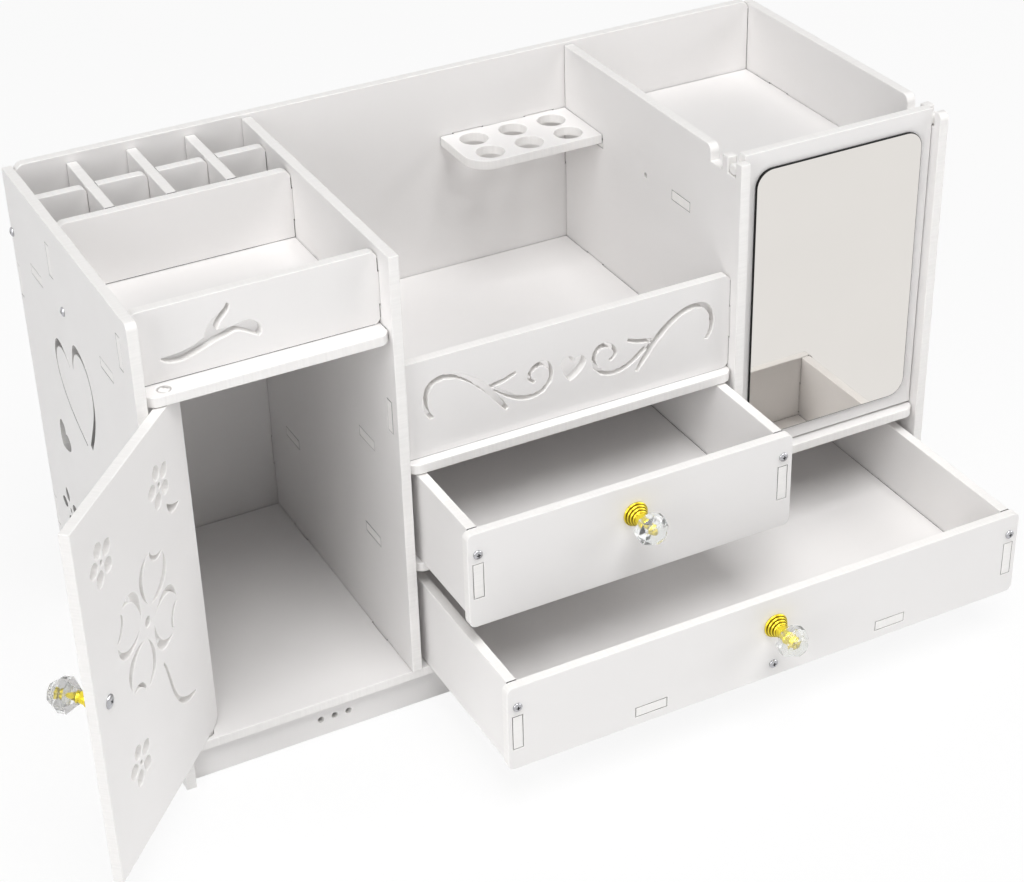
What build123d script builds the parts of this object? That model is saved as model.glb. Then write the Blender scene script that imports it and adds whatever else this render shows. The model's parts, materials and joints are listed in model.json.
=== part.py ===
"""Makeup organizer with a mirror flap, a door, two drawers and open trays.

It is a flat-pack box of foamed-plastic board: tabs in slots, a few screws, cut-out ornament.
Millimetres. X runs to the right, Y to the back and Z up. The origin is the middle of the
front plinth's foot, on the ground. The door and both drawers stand open.
"""
import os
from math import atan2, cos, degrees, hypot, pi, radians, sin, sqrt

from build123d import *

os.makedirs("parts", exist_ok=True)

# Boards and outside sizes
board = 6.0  # thickness of every board
width = 500.0  # outside of the two side panels
depth = 210.0  # front edge of a side panel to the back face
height = 300.0  # side panels and dividers
back_rise = 2.0  # back panel above the side panels
back_corner = 6.0  # rounded top corners of the back panel
heel_corner = 12.0  # rounded rear foot of a side panel
panel_corner = 4.0  # rounded front top corner of a side panel
shelf_corner = 7.0  # rounded front corners of the shelves

# Bays, from left to right and from the ground up
left_bay = 136.6
middle_bay = 209.7
plinth_height = 23.0
plinth_setback = 7.0  # behind the front edges of the side panels
lower_bay = 67.5  # base to long shelf
upper_bay = 59.5  # long shelf to middle shelf
left_tray_depth = 45.5
right_tray_depth = 45.0
shelf_setback = 1.0  # shelf edges behind the front edges of the side panels
middle_wall_setback = 7.5  # middle front panel behind the front edges of the side panels
middle_wall_height = 61.0
tray_wall_setback = 14.2  # left tray front behind the same edges
tray_wall_drop = 2.3  # left tray front below the top of the side panel
wall_corner = 4.5  # rounded corners of both front walls
grid_depth = 67.5  # cells, from the back panel to their front wall
grid_drop = 3.2  # cell walls below the top of the side panel
grid_corner = 5.5  # rounded top corners of the cells' front wall
grid_columns = 4
rail_corner = 4.0  # rounded right end of each length of the cross rail

# Tabs, slots and clearances
tab = 20.0
slot_gap = 0.2  # round a tab in its slot
bore_gap = 0.1  # round a screw or stem in its bore
tab_front = 46.0  # middle of a front tab behind the side panel's front edge
tab_rear = 44.0  # middle of a rear tab ahead of the back face
floor_tab_front = 63.5  # the same for the right tray floor
back_tab_low = 70.0  # middle of the low tabs of the back panel above the ground
back_tab_drop = 70.0  # middle of its high tabs below the top
divider_tab_rise = 47.5  # low back tab of the right divider above its foot
plinth_tab = 10.0
run_gap = 0.3  # between pieces that slide or turn on each other

# Plinth vents
vent_count = 3
vent_diameter = 3.0
vent_spacing = 8.7
vent_inset = 88.8  # middle vent from the left side panel

# Lipstick rack
rack_width = 88.0
rack_depth = 48.0
rack_drop = 41.5  # top of the rack below the top of the dividers
rack_corner = 16.0
rack_hole = 17.7
rack_columns = 3
rack_rows = 2
rack_pitch_across = 27.0
rack_pitch_deep = 22.0
rack_tab_spacing = 50.0

# Door
door_open = 132.5  # degrees from shut
door_pivot_inset = 11.8  # pivot from the side panel
door_pivot_setback = 7.9  # pivot behind the front edge of the side panel
door_heel = 10.9  # door behind its pivot
door_free_gap = 1.0
door_top_gap = 0.7
door_corner = 8.0  # rounded foot beside the pivot
pivot_tab = 4.0
pivot_tab_length = 5.5
door_knob_inset = 14.0

# Mirror flap
flap_side_gap = 0.7
flap_foot_gap = 1.5
flap_top_rise = 2.0  # above the side panels
flap_setback = 10.0  # middle of the flap behind the front edges of the side panels
flap_stop_gap = 0.6  # to the edge of the tray floor behind it
ear_round = 2.0
ear_end_gap = 0.5
ear_side_gap = 0.7
notch_depth = 9.7
prop_notch_width = 12.0
prop_notch_behind = 16.0  # middle of the prop notch behind the flap's middle
prop_notch_lip = 5.0  # rounded rear lip of the prop notch
mirror_corner = 11.0
mirror_thickness = 2.0
mirror_side_margin = 7.2  # flap left bare round the mirror
mirror_foot_margin = 9.5
mirror_top_margin = 11.0

# Drawers
upper_pull = 59.0  # how far the drawers stand open
lower_pull = 106.0
upper_top_gap = 1.0  # shelf above a drawer to the top of its sides
lower_top_gap = 10.0
upper_front_drop = 2.5  # front below the top of the shelf that carries it
lower_front_rise = 1.5  # front above the base that carries it
lower_floor_rise = 7.2  # drawer floor above the lower edge of its sides
lower_floor_tab_spacing = 162.0
drawer_rear_gap = 1.0  # to the back panel when shut
front_side_gap = 1.6
side_inset = 3.2  # drawer side in from the end of the front
front_corner = 4.0
front_tab = 22.0
front_tab_drop = 31.0  # below the top edge of the front
front_screw_drop = 13.5
knob_drop = 19.5

# Screws and knobs
screw_diameter = 3.0
screw_length = 20.0  # under the head
pilot_gap = 1.0  # bore past the end of a screw
head_diameter = 5.6
head_top_diameter = 3.8
head_height = 1.5
back_screw_drop = 39.0  # screws into the back panel below the top
side_screw_ahead = 92.0  # side screws ahead of the back face
tray_pilot_behind = 40.5  # pilot hole in the right divider behind the floor's front tab
rosette_radii = (7.6, 5.8, 3.4)  # steps of the knob's metal foot
rosette_step = 2.1
knob_neck = 4.0
knob_neck_diameter = 5.2
knob_stem = 4.6
knob_stem_length = 9.0
knob_bite = 5.0  # screw thread inside the foot
crystal_sides = 8
crystal_radius = 9.6
crystal_girdle = 4.5  # straight band round the crystal
crystal_crown = 5.5  # height of the facets over the girdle
crystal_table = 5.6  # radius of its front face
crystal_skirt = 5.0  # height of the facets under the girdle
crystal_foot = 4.6  # radius of its rear face

# Ornament
motif_unit = 1.0  # length of one unit in the stroke drawings
petal_count = 5
petal_length = 9.5
petal_width = 6.2
petal_foot = 5.8  # flower centre to the foot of a petal
petal_turn = 4.0  # degrees
flower_eye = 1.5
clover_turn = 30.0  # degrees
clover_eye = 3.0
scroll_place = (1.0, 3.0)  # from the middle of the middle front panel
scroll_heart = 15.0
scroll_heart_drop = 4.0
scroll_heart_tilt = -12.0  # degrees
sprig_place = (0.5, -1.6)  # from the middle of the left tray front
small_heart = 20.0
small_heart_tilt = 40.0  # degrees
heart_outline_place = (11.0, 53.0)  # back and up from the middle of the left side panel
small_heart_place = (54.0, -2.0)
side_flower_place = (66.0, -60.0)
door_top_flowers = ((-31.3, 35.2), (40.4, 34.0))  # across from the door's middle, below its top
door_low_flower = (29.4, 50.0)  # across from the door's middle, above its foot
door_clover_place = (1.0, 11.0)  # from the door's middle

# Places worked out from the sizes above
x_left = -width / 2
x_left_in = x_left + board
x_left_divider = x_left_in + left_bay
x_middle = x_left_divider + board
x_right_divider = x_middle + middle_bay
x_right_bay = x_right_divider + board
x_right_in = width / 2 - board
y_front = -plinth_setback - board / 2
y_back = y_front + depth
y_back_in = y_back - board
y_shelf = y_front + shelf_setback
y_middle_wall = y_front + middle_wall_setback
y_tray_wall = y_front + tray_wall_setback
y_flap = y_front + flap_setback
y_prop = y_flap + prop_notch_behind
y_grid = y_back_in - grid_depth - board
y_rail = y_back_in - grid_depth / 2 - board / 2
y_tab_front = y_front + tab_front
y_tab_rear = y_back - tab_rear
y_floor_tab = y_front + floor_tab_front
y_side_screw = y_back - side_screw_ahead
y_tray_pilot = y_floor_tab + tray_pilot_behind
z_base = plinth_height
z_base_top = z_base + board
z_long = z_base_top + lower_bay
z_long_top = z_long + board
z_shelf = z_long_top + upper_bay
z_shelf_top = z_shelf + board
z_left_top = height - left_tray_depth
z_left = z_left_top - board
z_right_top = height - right_tray_depth
z_right = z_right_top - board
z_rack = height - rack_drop - board
z_back_screw = height - back_screw_drop
z_back_tab_high = height - back_tab_drop
z_back_top = height + back_rise
z_grid_top = height - grid_drop
slot_long = tab + 2 * slot_gap
slot_wide = board + 2 * slot_gap
ear_reach = sqrt(2) * (board / 2 - ear_round) + ear_round
notch_width = 2 * (ear_reach + ear_side_gap)
pivot_hole = hypot(pivot_tab, board) + 2 * run_gap
z_flap_axis = height - notch_depth + ear_reach + run_gap
shelf_tabs = (y_tab_front, y_tab_rear)
floor_tabs = (y_floor_tab, y_tab_rear)


def keep(piece, name):
    """Label a finished piece and write it."""
    piece.part.label = name
    export_step(piece.part, f"parts/{name}.step")


def wall_plane(y):
    """Plane of a wall that faces the front: X across, Z up, growing to the front."""
    return Plane.XZ.offset(-y)


def turned(seat):
    """Plane through the axis of a seat: radius across, height up."""
    return Plane(origin=seat.origin, x_dir=seat.x_dir, z_dir=-seat.y_dir)


def rectangle(left, low, right, high, mode=Mode.ADD):
    """Rectangle from one corner to the opposite one."""
    with Locations(((left + right) / 2, (low + high) / 2)):
        Rectangle(right - left, high - low, mode=mode)


def round_corners(outline, radius, *corners):
    """Round the corners of an open sketch that lie at the given places."""
    for corner in corners:
        fillet(outline.vertices().sort_by_distance(corner)[0], radius)


def flat_slots(z_low, centres):
    """Slots in a side panel or divider for the tabs of a shelf."""
    with Locations(*[(y, z_low + board / 2) for y in centres]):
        Rectangle(slot_long, slot_wide, mode=Mode.SUBTRACT)


def upright_slot(y_face, z_middle):
    """Slot in a side panel or divider for the tab of a wall."""
    with Locations((y_face + board / 2, z_middle)):
        Rectangle(slot_wide, slot_long, mode=Mode.SUBTRACT)


def end_tabs(left, right, centres):
    """Tabs at both ends of a shelf, as long as the board that they pass through."""
    for middle in centres:
        rectangle(left - board, middle - tab / 2, left, middle + tab / 2)
        rectangle(right, middle - tab / 2, right + board, middle + tab / 2)


def flap_notches(outline):
    """Open notches in the top edge of an outline: one for the ear of the flap, one to prop it."""
    rectangle(y_flap - notch_width / 2, height - notch_depth, y_flap + notch_width / 2, height,
              mode=Mode.SUBTRACT)
    rectangle(y_prop - prop_notch_width / 2, height - notch_depth, y_prop + prop_notch_width / 2, height,
              mode=Mode.SUBTRACT)
    round_corners(outline, prop_notch_lip, (y_prop + prop_notch_width / 2, height))


def drill(places, length, diameter=screw_diameter + 2 * bore_gap):
    """Round bores from places on a face, each place's Z pointing into the board."""
    for place in places:
        with Locations(place):
            Cylinder(diameter / 2, length, align=(Align.CENTER, Align.CENTER, Align.MIN),
                     mode=Mode.SUBTRACT)


def stroke(*stations):
    """Smooth band through (across, up, width) stations, as a router cuts it."""
    near = []
    far = []
    last = len(stations) - 1
    for index, (across, up, wide) in enumerate(stations):
        before = stations[max(index - 1, 0)]
        after = stations[min(index + 1, last)]
        ahead = Vector(after[0] - before[0], after[1] - before[1]).normalized()
        side = Vector(-ahead.Y, ahead.X) * (wide / 2)
        near.append((Vector(across, up) + side) * motif_unit)
        far.append((Vector(across, up) - side) * motif_unit)
    with BuildSketch() as band:
        with BuildLine():
            near_edge = Spline(*near)
            far_edge = Spline(*far)
            Line(near_edge @ 0, far_edge @ 0)
            Line(near_edge @ 1, far_edge @ 1)
        make_face()
    return band.sketch


def crescent(start, middle, end, wide):
    """Pointed band between two arcs, widest in its middle."""
    start, middle, end = (Vector(*point) * motif_unit for point in (start, middle, end))
    chord = (end - start).normalized()
    side = Vector(-chord.Y, chord.X) * (wide * motif_unit / 2)
    with BuildSketch() as band:
        with BuildLine():
            ThreePointArc(start, middle + side, end)
            ThreePointArc(start, middle - side, end)
        make_face()
    return band.sketch


def heart(size):
    """Solid heart of a given width, its point down."""
    half = size / 2
    with BuildSketch() as shape:
        with BuildLine() as edge:
            lobe = ThreePointArc((0, half * 0.45), (half * 0.62, half * 0.92), (half, half * 0.3))
            ThreePointArc(lobe @ 1, (half * 0.68, -half * 0.35), (0, -half))
            mirror(edge.edges(), about=Plane.YZ)
        make_face()
    return shape.sketch


def flower():
    """Five petals round an eye."""
    with BuildSketch() as petal:
        with BuildLine():
            ThreePointArc((0, 0), (petal_length * 0.55, petal_width / 2), (petal_length, 0))
            ThreePointArc((0, 0), (petal_length * 0.55, -petal_width / 2), (petal_length, 0))
        make_face()
    with BuildSketch() as shape:
        with PolarLocations(petal_foot, petal_count, start_angle=petal_turn):
            add(petal.sketch)
        Circle(flower_eye)
    return shape.sketch


def clover():
    """Four notched petals in outline, each tied to the board at its foot and tip."""
    with BuildSketch() as shape:
        for quarter in range(4):
            turn = clover_turn + 90 * quarter
            with Locations(Rot(Z=turn)):
                add(crescent((9.5, 1.8), (24, 8.8), (35.5, 6.0), 3.0))
                add(crescent((9.5, -1.8), (24, -8.8), (35.5, -6.0), 2.4))
                add(crescent((36.4, 4.2), (33.0, 0), (36.4, -4.2), 2.4))
        Circle(clover_eye)
    return shape.sketch


def half_scroll():
    """Left half of the scroll on the middle front panel, from the scroll's middle."""
    with BuildSketch() as shape:
        add(stroke((-42, -18, 1.4), (-49.5, -7.3, 3.4), (-57, 1.3, 3.8), (-67.5, 9.7, 3.2),
                   (-78.4, 13.6, 2.8), (-88.3, 10.8, 2.6), (-91.5, 2.7, 2.4), (-88.1, -9.8, 2.0)))
        add(stroke((-52, -1.0, 2.4), (-43, 1.2, 2.0), (-36, 3.6, 1.2)))
        add(stroke((-50, -3.2, 2.6), (-42, -8.4, 2.6), (-33, -13.4, 2.4), (-23, -14, 2.2),
                   (-16.2, -9.3, 2.0), (-13.8, -2.2, 2.2), (-17.5, 4.1, 2.6), (-24, 3.4, 2.2),
                   (-27.4, -1.4, 1.8), (-24.1, -5.7, 1.2)))
    return shape.sketch


def sprig():
    """Stem with a bud and a leaf on the left tray front."""
    with BuildSketch() as shape:
        add(stroke((-54.6, -6.7, 1.0), (-49.5, -8.0, 4.2), (-42, -7.7, 5.2), (-37, -6.3, 5.0),
                   (-32, -4.4, 5.2), (-25, -1.6, 5.8), (-18, -0.6, 4.4), (-12.5, 0.2, 3.8),
                   (-7.5, -0.2, 6.6), (-3.2, -2.8, 6.6), (-0.4, -7.2, 1.8)))
        add(stroke((-28.5, -1.5, 5.0), (-25.8, 3.6, 5.6), (-22.8, 7.4, 4.4), (-19.2, 10.4, 3.4),
                   (-16.2, 15.2, 1.6)))
    return shape.sketch


def heart_outline():
    """Open heart of two brush strokes on the left side panel."""
    with BuildSketch() as shape:
        add(stroke((6.8, 11.1, 1.2), (16, 17.6, 2.4), (25, 18, 4.6), (31, 12.2, 3.4),
                   (33, 2.7, 2.4), (27.5, -10.6, 1.9), (13.8, -22.4, 1.6), (-7.6, -32.4, 1.2)))
        add(stroke((-0.6, 13.9, 1.4), (-3.2, 22.6, 2.6), (-9, 30, 5.0), (-18, 30.6, 3.2),
                   (-28, 24.6, 2.2), (-33, 12.3, 2.0), (-30.6, -2.9, 3.0), (-15.9, -29.5, 3.4)))
    return shape.sketch


# Where the screws of the carcass go in: places on the outer faces, pointing inwards
left_screw_places = [
    Plane(origin=(x_left, y, z), z_dir=(1, 0, 0))
    for y, z in (
        (y_back - board / 2, z_back_screw),
        (y_side_screw, z_left + board / 2),
        (y_side_screw, z_base + board / 2),
    )
]
right_screw_places = [
    Plane(origin=(-x_left, y, z), z_dir=(-1, 0, 0))
    for y, z in (
        (y_back - board / 2, z_back_screw),
        (y_side_screw, z_right + board / 2),
        (y_side_screw, z_base + board / 2),
    )
]
carcass_places = left_screw_places + right_screw_places


def side_outline():
    """Outline of a side panel with a rounded heel, its foot and back slots."""
    with BuildSketch() as outline:
        rectangle(y_front, 0, y_back, height)
        round_corners(outline, heel_corner, (y_back, 0))
        round_corners(outline, panel_corner, (y_front, height))
        flat_slots(z_base, shelf_tabs)
        with Locations((0, plinth_height / 2)):
            Rectangle(slot_wide, plinth_tab + 2 * slot_gap, mode=Mode.SUBTRACT)
        for middle in (back_tab_low, z_back_tab_high):
            rectangle(y_back_in - slot_gap, middle - slot_long / 2, y_back, middle + slot_long / 2,
                      mode=Mode.SUBTRACT)
    return outline.sketch


# Side panels
z_tray_wall = (z_left_top + height - tray_wall_drop) / 2
z_grid_wall = (z_left_top + z_grid_top) / 2
z_middle_wall = z_shelf_top + middle_wall_height / 2
with BuildPart() as left_side_panel:
    with BuildSketch(Plane.YZ.offset(x_left)):
        add(side_outline())
        flat_slots(z_left, shelf_tabs)
        upright_slot(y_tray_wall, z_tray_wall)
        upright_slot(y_grid, z_grid_wall)
        with Locations(((y_front + y_back) / 2, height / 2)):
            with Locations(heart_outline_place):
                add(heart_outline(), mode=Mode.SUBTRACT)
            with Locations(Location(small_heart_place, small_heart_tilt)):
                add(heart(small_heart), mode=Mode.SUBTRACT)
            with Locations(side_flower_place):
                add(flower(), mode=Mode.SUBTRACT)
    extrude(amount=board)
    drill(left_screw_places, board)
keep(left_side_panel, "left_side_panel")

with BuildPart() as right_side_panel:
    with BuildSketch(Plane.YZ.offset(x_right_in)) as outline:
        add(side_outline())
        flat_slots(z_long, shelf_tabs)
        flat_slots(z_right, floor_tabs)
        flap_notches(outline)
    extrude(amount=board)
    drill(right_screw_places, board)
keep(right_side_panel, "right_side_panel")

# Dividers: the left one stands on the base, the right one on the long shelf
left_divider_tabs = (back_tab_low, z_back_tab_high)
right_divider_tabs = (z_long_top + divider_tab_rise, z_back_tab_high)


def divider_outline(z_foot, back_tabs):
    """Divider with tabs into the board under it and into the back panel."""
    with BuildSketch() as outline:
        rectangle(y_front, z_foot, y_back_in, height)
        for middle in shelf_tabs:
            rectangle(middle - tab / 2, z_foot - board, middle + tab / 2, z_foot)
        for middle in back_tabs:
            rectangle(y_back_in, middle - tab / 2, y_back, middle + tab / 2)
    return outline.sketch


with BuildPart() as left_divider:
    with BuildSketch(Plane.YZ.offset(x_left_divider)):
        add(divider_outline(z_base_top, left_divider_tabs))
        for z_low in (z_left, z_shelf, z_long):
            flat_slots(z_low, shelf_tabs)
        upright_slot(y_tray_wall, z_tray_wall)
        upright_slot(y_middle_wall, z_middle_wall)
        upright_slot(y_grid, z_grid_wall)
    extrude(amount=board)
keep(left_divider, "left_divider")

tray_pilot_place = Plane(origin=(x_right_divider, y_tray_pilot, z_right + board / 2), z_dir=(1, 0, 0))
with BuildPart() as right_divider:
    with BuildSketch(Plane.YZ.offset(x_right_divider)) as outline:
        add(divider_outline(z_long_top, right_divider_tabs))
        flat_slots(z_shelf, shelf_tabs)
        flat_slots(z_right, floor_tabs)
        upright_slot(y_middle_wall, z_middle_wall)
        flap_notches(outline)
    extrude(amount=board)
    drill([tray_pilot_place], board)
keep(right_divider, "right_divider")

# Back panel, between the side panels, with tabs into both
x_rack_mid = x_right_divider - rack_width / 2
rack_tabs = (x_rack_mid - rack_tab_spacing / 2, x_rack_mid + rack_tab_spacing / 2)
with BuildPart() as back_panel:
    with BuildSketch(wall_plane(y_back)) as outline:
        rectangle(x_left_in, 0, x_right_in, z_back_top)
        round_corners(outline, back_corner, (x_left_in, z_back_top), (x_right_in, z_back_top))
        for middle in (back_tab_low, z_back_tab_high):
            rectangle(x_left, middle - tab / 2, x_left_in, middle + tab / 2)
            rectangle(x_right_in, middle - tab / 2, -x_left, middle + tab / 2)
        for x_divider, middles in (
            (x_left_divider, left_divider_tabs),
            (x_right_divider, right_divider_tabs),
        ):
            with Locations(*[(x_divider + board / 2, middle) for middle in middles]):
                Rectangle(slot_wide, slot_long, mode=Mode.SUBTRACT)
        with Locations(*[(x_tab, z_rack + board / 2) for x_tab in rack_tabs]):
            Rectangle(slot_long, slot_wide, mode=Mode.SUBTRACT)
    extrude(amount=board)
    drill(carcass_places, screw_length + pilot_gap)
keep(back_panel, "back_panel")

# Door pivot line
x_pivot = x_left_in + door_pivot_inset
y_pivot = y_front + door_pivot_setback

# Base and front plinth
with BuildPart() as base_panel:
    with BuildSketch(Plane.XY.offset(z_base)):
        rectangle(x_left_in, y_shelf, x_right_in, y_back_in)
        end_tabs(x_left_in, x_right_in, shelf_tabs)
        with Locations(*[(x_left_divider + board / 2, y) for y in shelf_tabs]):
            Rectangle(slot_wide, slot_long, mode=Mode.SUBTRACT)
        with Locations((x_pivot, y_pivot)):
            Circle(pivot_hole / 2, mode=Mode.SUBTRACT)
    extrude(amount=board)
    drill(carcass_places, screw_length + pilot_gap)
keep(base_panel, "base_panel")

with BuildPart() as front_plinth:
    with BuildSketch(wall_plane(board / 2)):
        rectangle(x_left_in, 0, x_right_in, plinth_height)
        rectangle(x_left, (plinth_height - plinth_tab) / 2, -x_left, (plinth_height + plinth_tab) / 2)
        with Locations((x_left_in + vent_inset, plinth_height / 2)):
            with GridLocations(vent_spacing, vent_spacing, vent_count, 1):
                Circle(vent_diameter / 2, mode=Mode.SUBTRACT)
    extrude(amount=board)
keep(front_plinth, "front_plinth")

# Shelves
with BuildPart() as long_shelf:
    with BuildSketch(Plane.XY.offset(z_long)) as outline:
        rectangle(x_middle, y_shelf, x_right_in, y_back_in)
        round_corners(outline, shelf_corner, (x_middle, y_shelf), (x_right_in, y_shelf))
        end_tabs(x_middle, x_right_in, shelf_tabs)
        with Locations(*[(x_right_divider + board / 2, y) for y in shelf_tabs]):
            Rectangle(slot_wide, slot_long, mode=Mode.SUBTRACT)
    extrude(amount=board)
keep(long_shelf, "long_shelf")

with BuildPart() as middle_shelf:
    with BuildSketch(Plane.XY.offset(z_shelf)) as outline:
        rectangle(x_middle, y_shelf, x_right_divider, y_back_in)
        round_corners(outline, shelf_corner, (x_middle, y_shelf), (x_right_divider, y_shelf))
        end_tabs(x_middle, x_right_divider, shelf_tabs)
    extrude(amount=board)
keep(middle_shelf, "middle_shelf")

with BuildPart() as left_shelf:
    with BuildSketch(Plane.XY.offset(z_left)) as outline:
        rectangle(x_left_in, y_shelf, x_left_divider, y_back_in)
        round_corners(outline, shelf_corner, (x_left_in, y_shelf), (x_left_divider, y_shelf))
        end_tabs(x_left_in, x_left_divider, shelf_tabs)
        with Locations((x_pivot, y_pivot)):
            Circle(pivot_hole / 2, mode=Mode.SUBTRACT)
    extrude(amount=board)
    drill(left_screw_places, screw_length + pilot_gap)
keep(left_shelf, "left_shelf")

with BuildPart() as right_tray_floor:
    with BuildSketch(Plane.XY.offset(z_right)):
        rectangle(x_right_bay, y_flap + board / 2 + flap_stop_gap, x_right_in, y_back_in)
        end_tabs(x_right_bay, x_right_in, floor_tabs)
    extrude(amount=board)
    drill(right_screw_places, screw_length + pilot_gap)
keep(right_tray_floor, "right_tray_floor")

# Front walls with cut-out ornament
with BuildPart() as middle_front_panel:
    with BuildSketch(wall_plane(y_middle_wall + board)) as outline:
        rectangle(x_middle, z_shelf_top, x_right_divider, z_shelf_top + middle_wall_height)
        fillet(outline.vertices(), wall_corner)
        end_tabs(x_middle, x_right_divider, (z_middle_wall,))
        with Locations(((x_middle + x_right_divider) / 2, z_middle_wall)):
            with Locations(scroll_place):
                add(half_scroll(), mode=Mode.SUBTRACT)
                add(mirror(half_scroll(), about=Plane.YZ, mode=Mode.PRIVATE), mode=Mode.SUBTRACT)
                with Locations(Location((0, -scroll_heart_drop), scroll_heart_tilt)):
                    add(heart(scroll_heart), mode=Mode.SUBTRACT)
    extrude(amount=board)
keep(middle_front_panel, "middle_front_panel")

with BuildPart() as left_tray_front:
    with BuildSketch(wall_plane(y_tray_wall + board)) as outline:
        rectangle(x_left_in, z_left_top, x_left_divider, height - tray_wall_drop)
        fillet(outline.vertices(), wall_corner)
        end_tabs(x_left_in, x_left_divider, (z_tray_wall,))
        with Locations(((x_left_in + x_left_divider) / 2, z_tray_wall)):
            with Locations(sprig_place):
                add(sprig(), mode=Mode.SUBTRACT)
    extrude(amount=board)
keep(left_tray_front, "left_tray_front")

# Grid of cells at the back of the left tray, its rail and partitions halved together
cell = (left_bay - (grid_columns - 1) * board) / grid_columns
partition_lefts = [x_left_in + cell + column * (cell + board) for column in range(grid_columns - 1)]
with BuildPart() as grid_front_wall:
    with BuildSketch(wall_plane(y_grid + board)) as outline:
        rectangle(x_left_in, z_left_top, x_left_divider, z_grid_top)
        round_corners(outline, grid_corner, (x_left_in, z_grid_top), (x_left_divider, z_grid_top))
        end_tabs(x_left_in, x_left_divider, (z_grid_wall,))
    extrude(amount=board)
keep(grid_front_wall, "grid_front_wall")

with BuildPart() as grid_cross_rail:
    with BuildSketch(wall_plane(y_rail + board)) as outline:
        rectangle(x_left_in, z_left_top, x_left_divider, z_grid_top)
        for x_partition in partition_lefts:
            rectangle(x_partition - slot_gap, z_grid_wall - slot_gap, x_partition + board + slot_gap,
                      z_grid_top, mode=Mode.SUBTRACT)
            round_corners(outline, rail_corner, (x_partition - slot_gap, z_grid_top))
        round_corners(outline, rail_corner, (x_left_divider, z_grid_top))
    extrude(amount=board)
keep(grid_cross_rail, "grid_cross_rail")

for number, x_partition in enumerate(partition_lefts, start=1):
    with BuildPart() as partition:
        with BuildSketch(Plane.YZ.offset(x_partition)):
            rectangle(y_grid + board, z_left_top, y_back_in, z_grid_top)
            rectangle(y_rail - slot_gap, z_left_top, y_rail + board + slot_gap, z_grid_wall + slot_gap,
                      mode=Mode.SUBTRACT)
        extrude(amount=board)
    keep(partition, f"grid_partition_{number}")

# Lipstick rack in the corner of the middle bay
x_rack = x_right_divider - rack_width
y_rack = y_back_in - rack_depth
with BuildPart() as lipstick_rack:
    with BuildSketch(Plane.XY.offset(z_rack)) as outline:
        rectangle(x_rack, y_rack, x_right_divider, y_back_in)
        round_corners(outline, rack_corner, (x_rack, y_rack))
        for x_tab in rack_tabs:
            rectangle(x_tab - tab / 2, y_back_in, x_tab + tab / 2, y_back)
        with Locations((x_rack_mid, y_back_in - rack_depth / 2)):
            with GridLocations(rack_pitch_across, rack_pitch_deep, rack_columns, rack_rows):
                Circle(rack_hole / 2, mode=Mode.SUBTRACT)
    extrude(amount=board)
keep(lipstick_rack, "lipstick_rack")


def screw(place, length):
    """Pan-headed screw, its head on the face and its shank along the place's Z."""
    with BuildPart() as one:
        with BuildSketch(turned(place)):
            with BuildLine():
                Polyline((0, -head_height), (0, length), (screw_diameter / 2, length),
                         (screw_diameter / 2, 0), (head_diameter / 2, 0),
                         (head_top_diameter / 2, -head_height), close=True)
            make_face()
        revolve(axis=Axis(place.origin, place.z_dir))
    return one.part


with BuildPart() as carcass_screws:
    for place in carcass_places:
        add(screw(place, screw_length))
keep(carcass_screws, "carcass_screws")


def facet_slope(end_radius, rise):
    """Slope of the facets that run from the girdle in to an end face of the crystal."""
    return degrees(atan2((crystal_radius - end_radius) * cos(pi / crystal_sides), rise))


def knob(owner, seat):
    """Metal foot, faceted crystal and screw of a knob; the seat's Z points out of the board."""
    foot_height = rosette_step * len(rosette_radii)
    neck_top = foot_height + knob_neck
    stem_top = neck_top + knob_stem_length
    axis = Axis(seat.origin, seat.z_dir)
    with BuildPart() as foot:
        with BuildSketch(turned(seat)):
            for step, radius in enumerate(rosette_radii):
                rectangle(0, step * rosette_step, radius, (step + 1) * rosette_step)
            rectangle(0, foot_height, knob_neck_diameter / 2, neck_top)
            rectangle(0, neck_top, knob_stem / 2, stem_top)
            rectangle(0, 0, screw_diameter / 2 + bore_gap, knob_bite + bore_gap, mode=Mode.SUBTRACT)
        revolve(axis=axis)
    keep(foot, f"{owner}_knob_base")

    rear = seat.offset(neck_top + crystal_skirt)
    with BuildPart() as crystal:
        with BuildSketch(rear):
            RegularPolygon(crystal_radius, crystal_sides)
        extrude(amount=crystal_girdle)
        with BuildSketch(rear.offset(crystal_girdle)):
            RegularPolygon(crystal_radius, crystal_sides)
        extrude(amount=crystal_crown, taper=facet_slope(crystal_table, crystal_crown))
        with BuildSketch(Plane(origin=rear.origin, x_dir=rear.x_dir, z_dir=-rear.z_dir)):
            RegularPolygon(crystal_radius, crystal_sides)
        extrude(amount=crystal_skirt, taper=facet_slope(crystal_foot, crystal_skirt))
        with BuildSketch(seat.offset(neck_top)):
            Circle(knob_stem / 2 + bore_gap)
        extrude(amount=knob_stem_length + bore_gap, mode=Mode.SUBTRACT)
    keep(crystal, f"{owner}_knob_crystal")

    inner = Plane(origin=seat.origin - seat.z_dir * board, x_dir=seat.x_dir, z_dir=seat.z_dir)
    with BuildPart() as fixing:
        add(screw(inner, board + knob_bite))
    keep(fixing, f"{owner}_knob_screw")


def knob_bore(seat):
    """Bore through a board for a knob's screw."""
    drill([Plane(origin=seat.origin, x_dir=seat.x_dir, z_dir=-seat.z_dir)], board)


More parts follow.
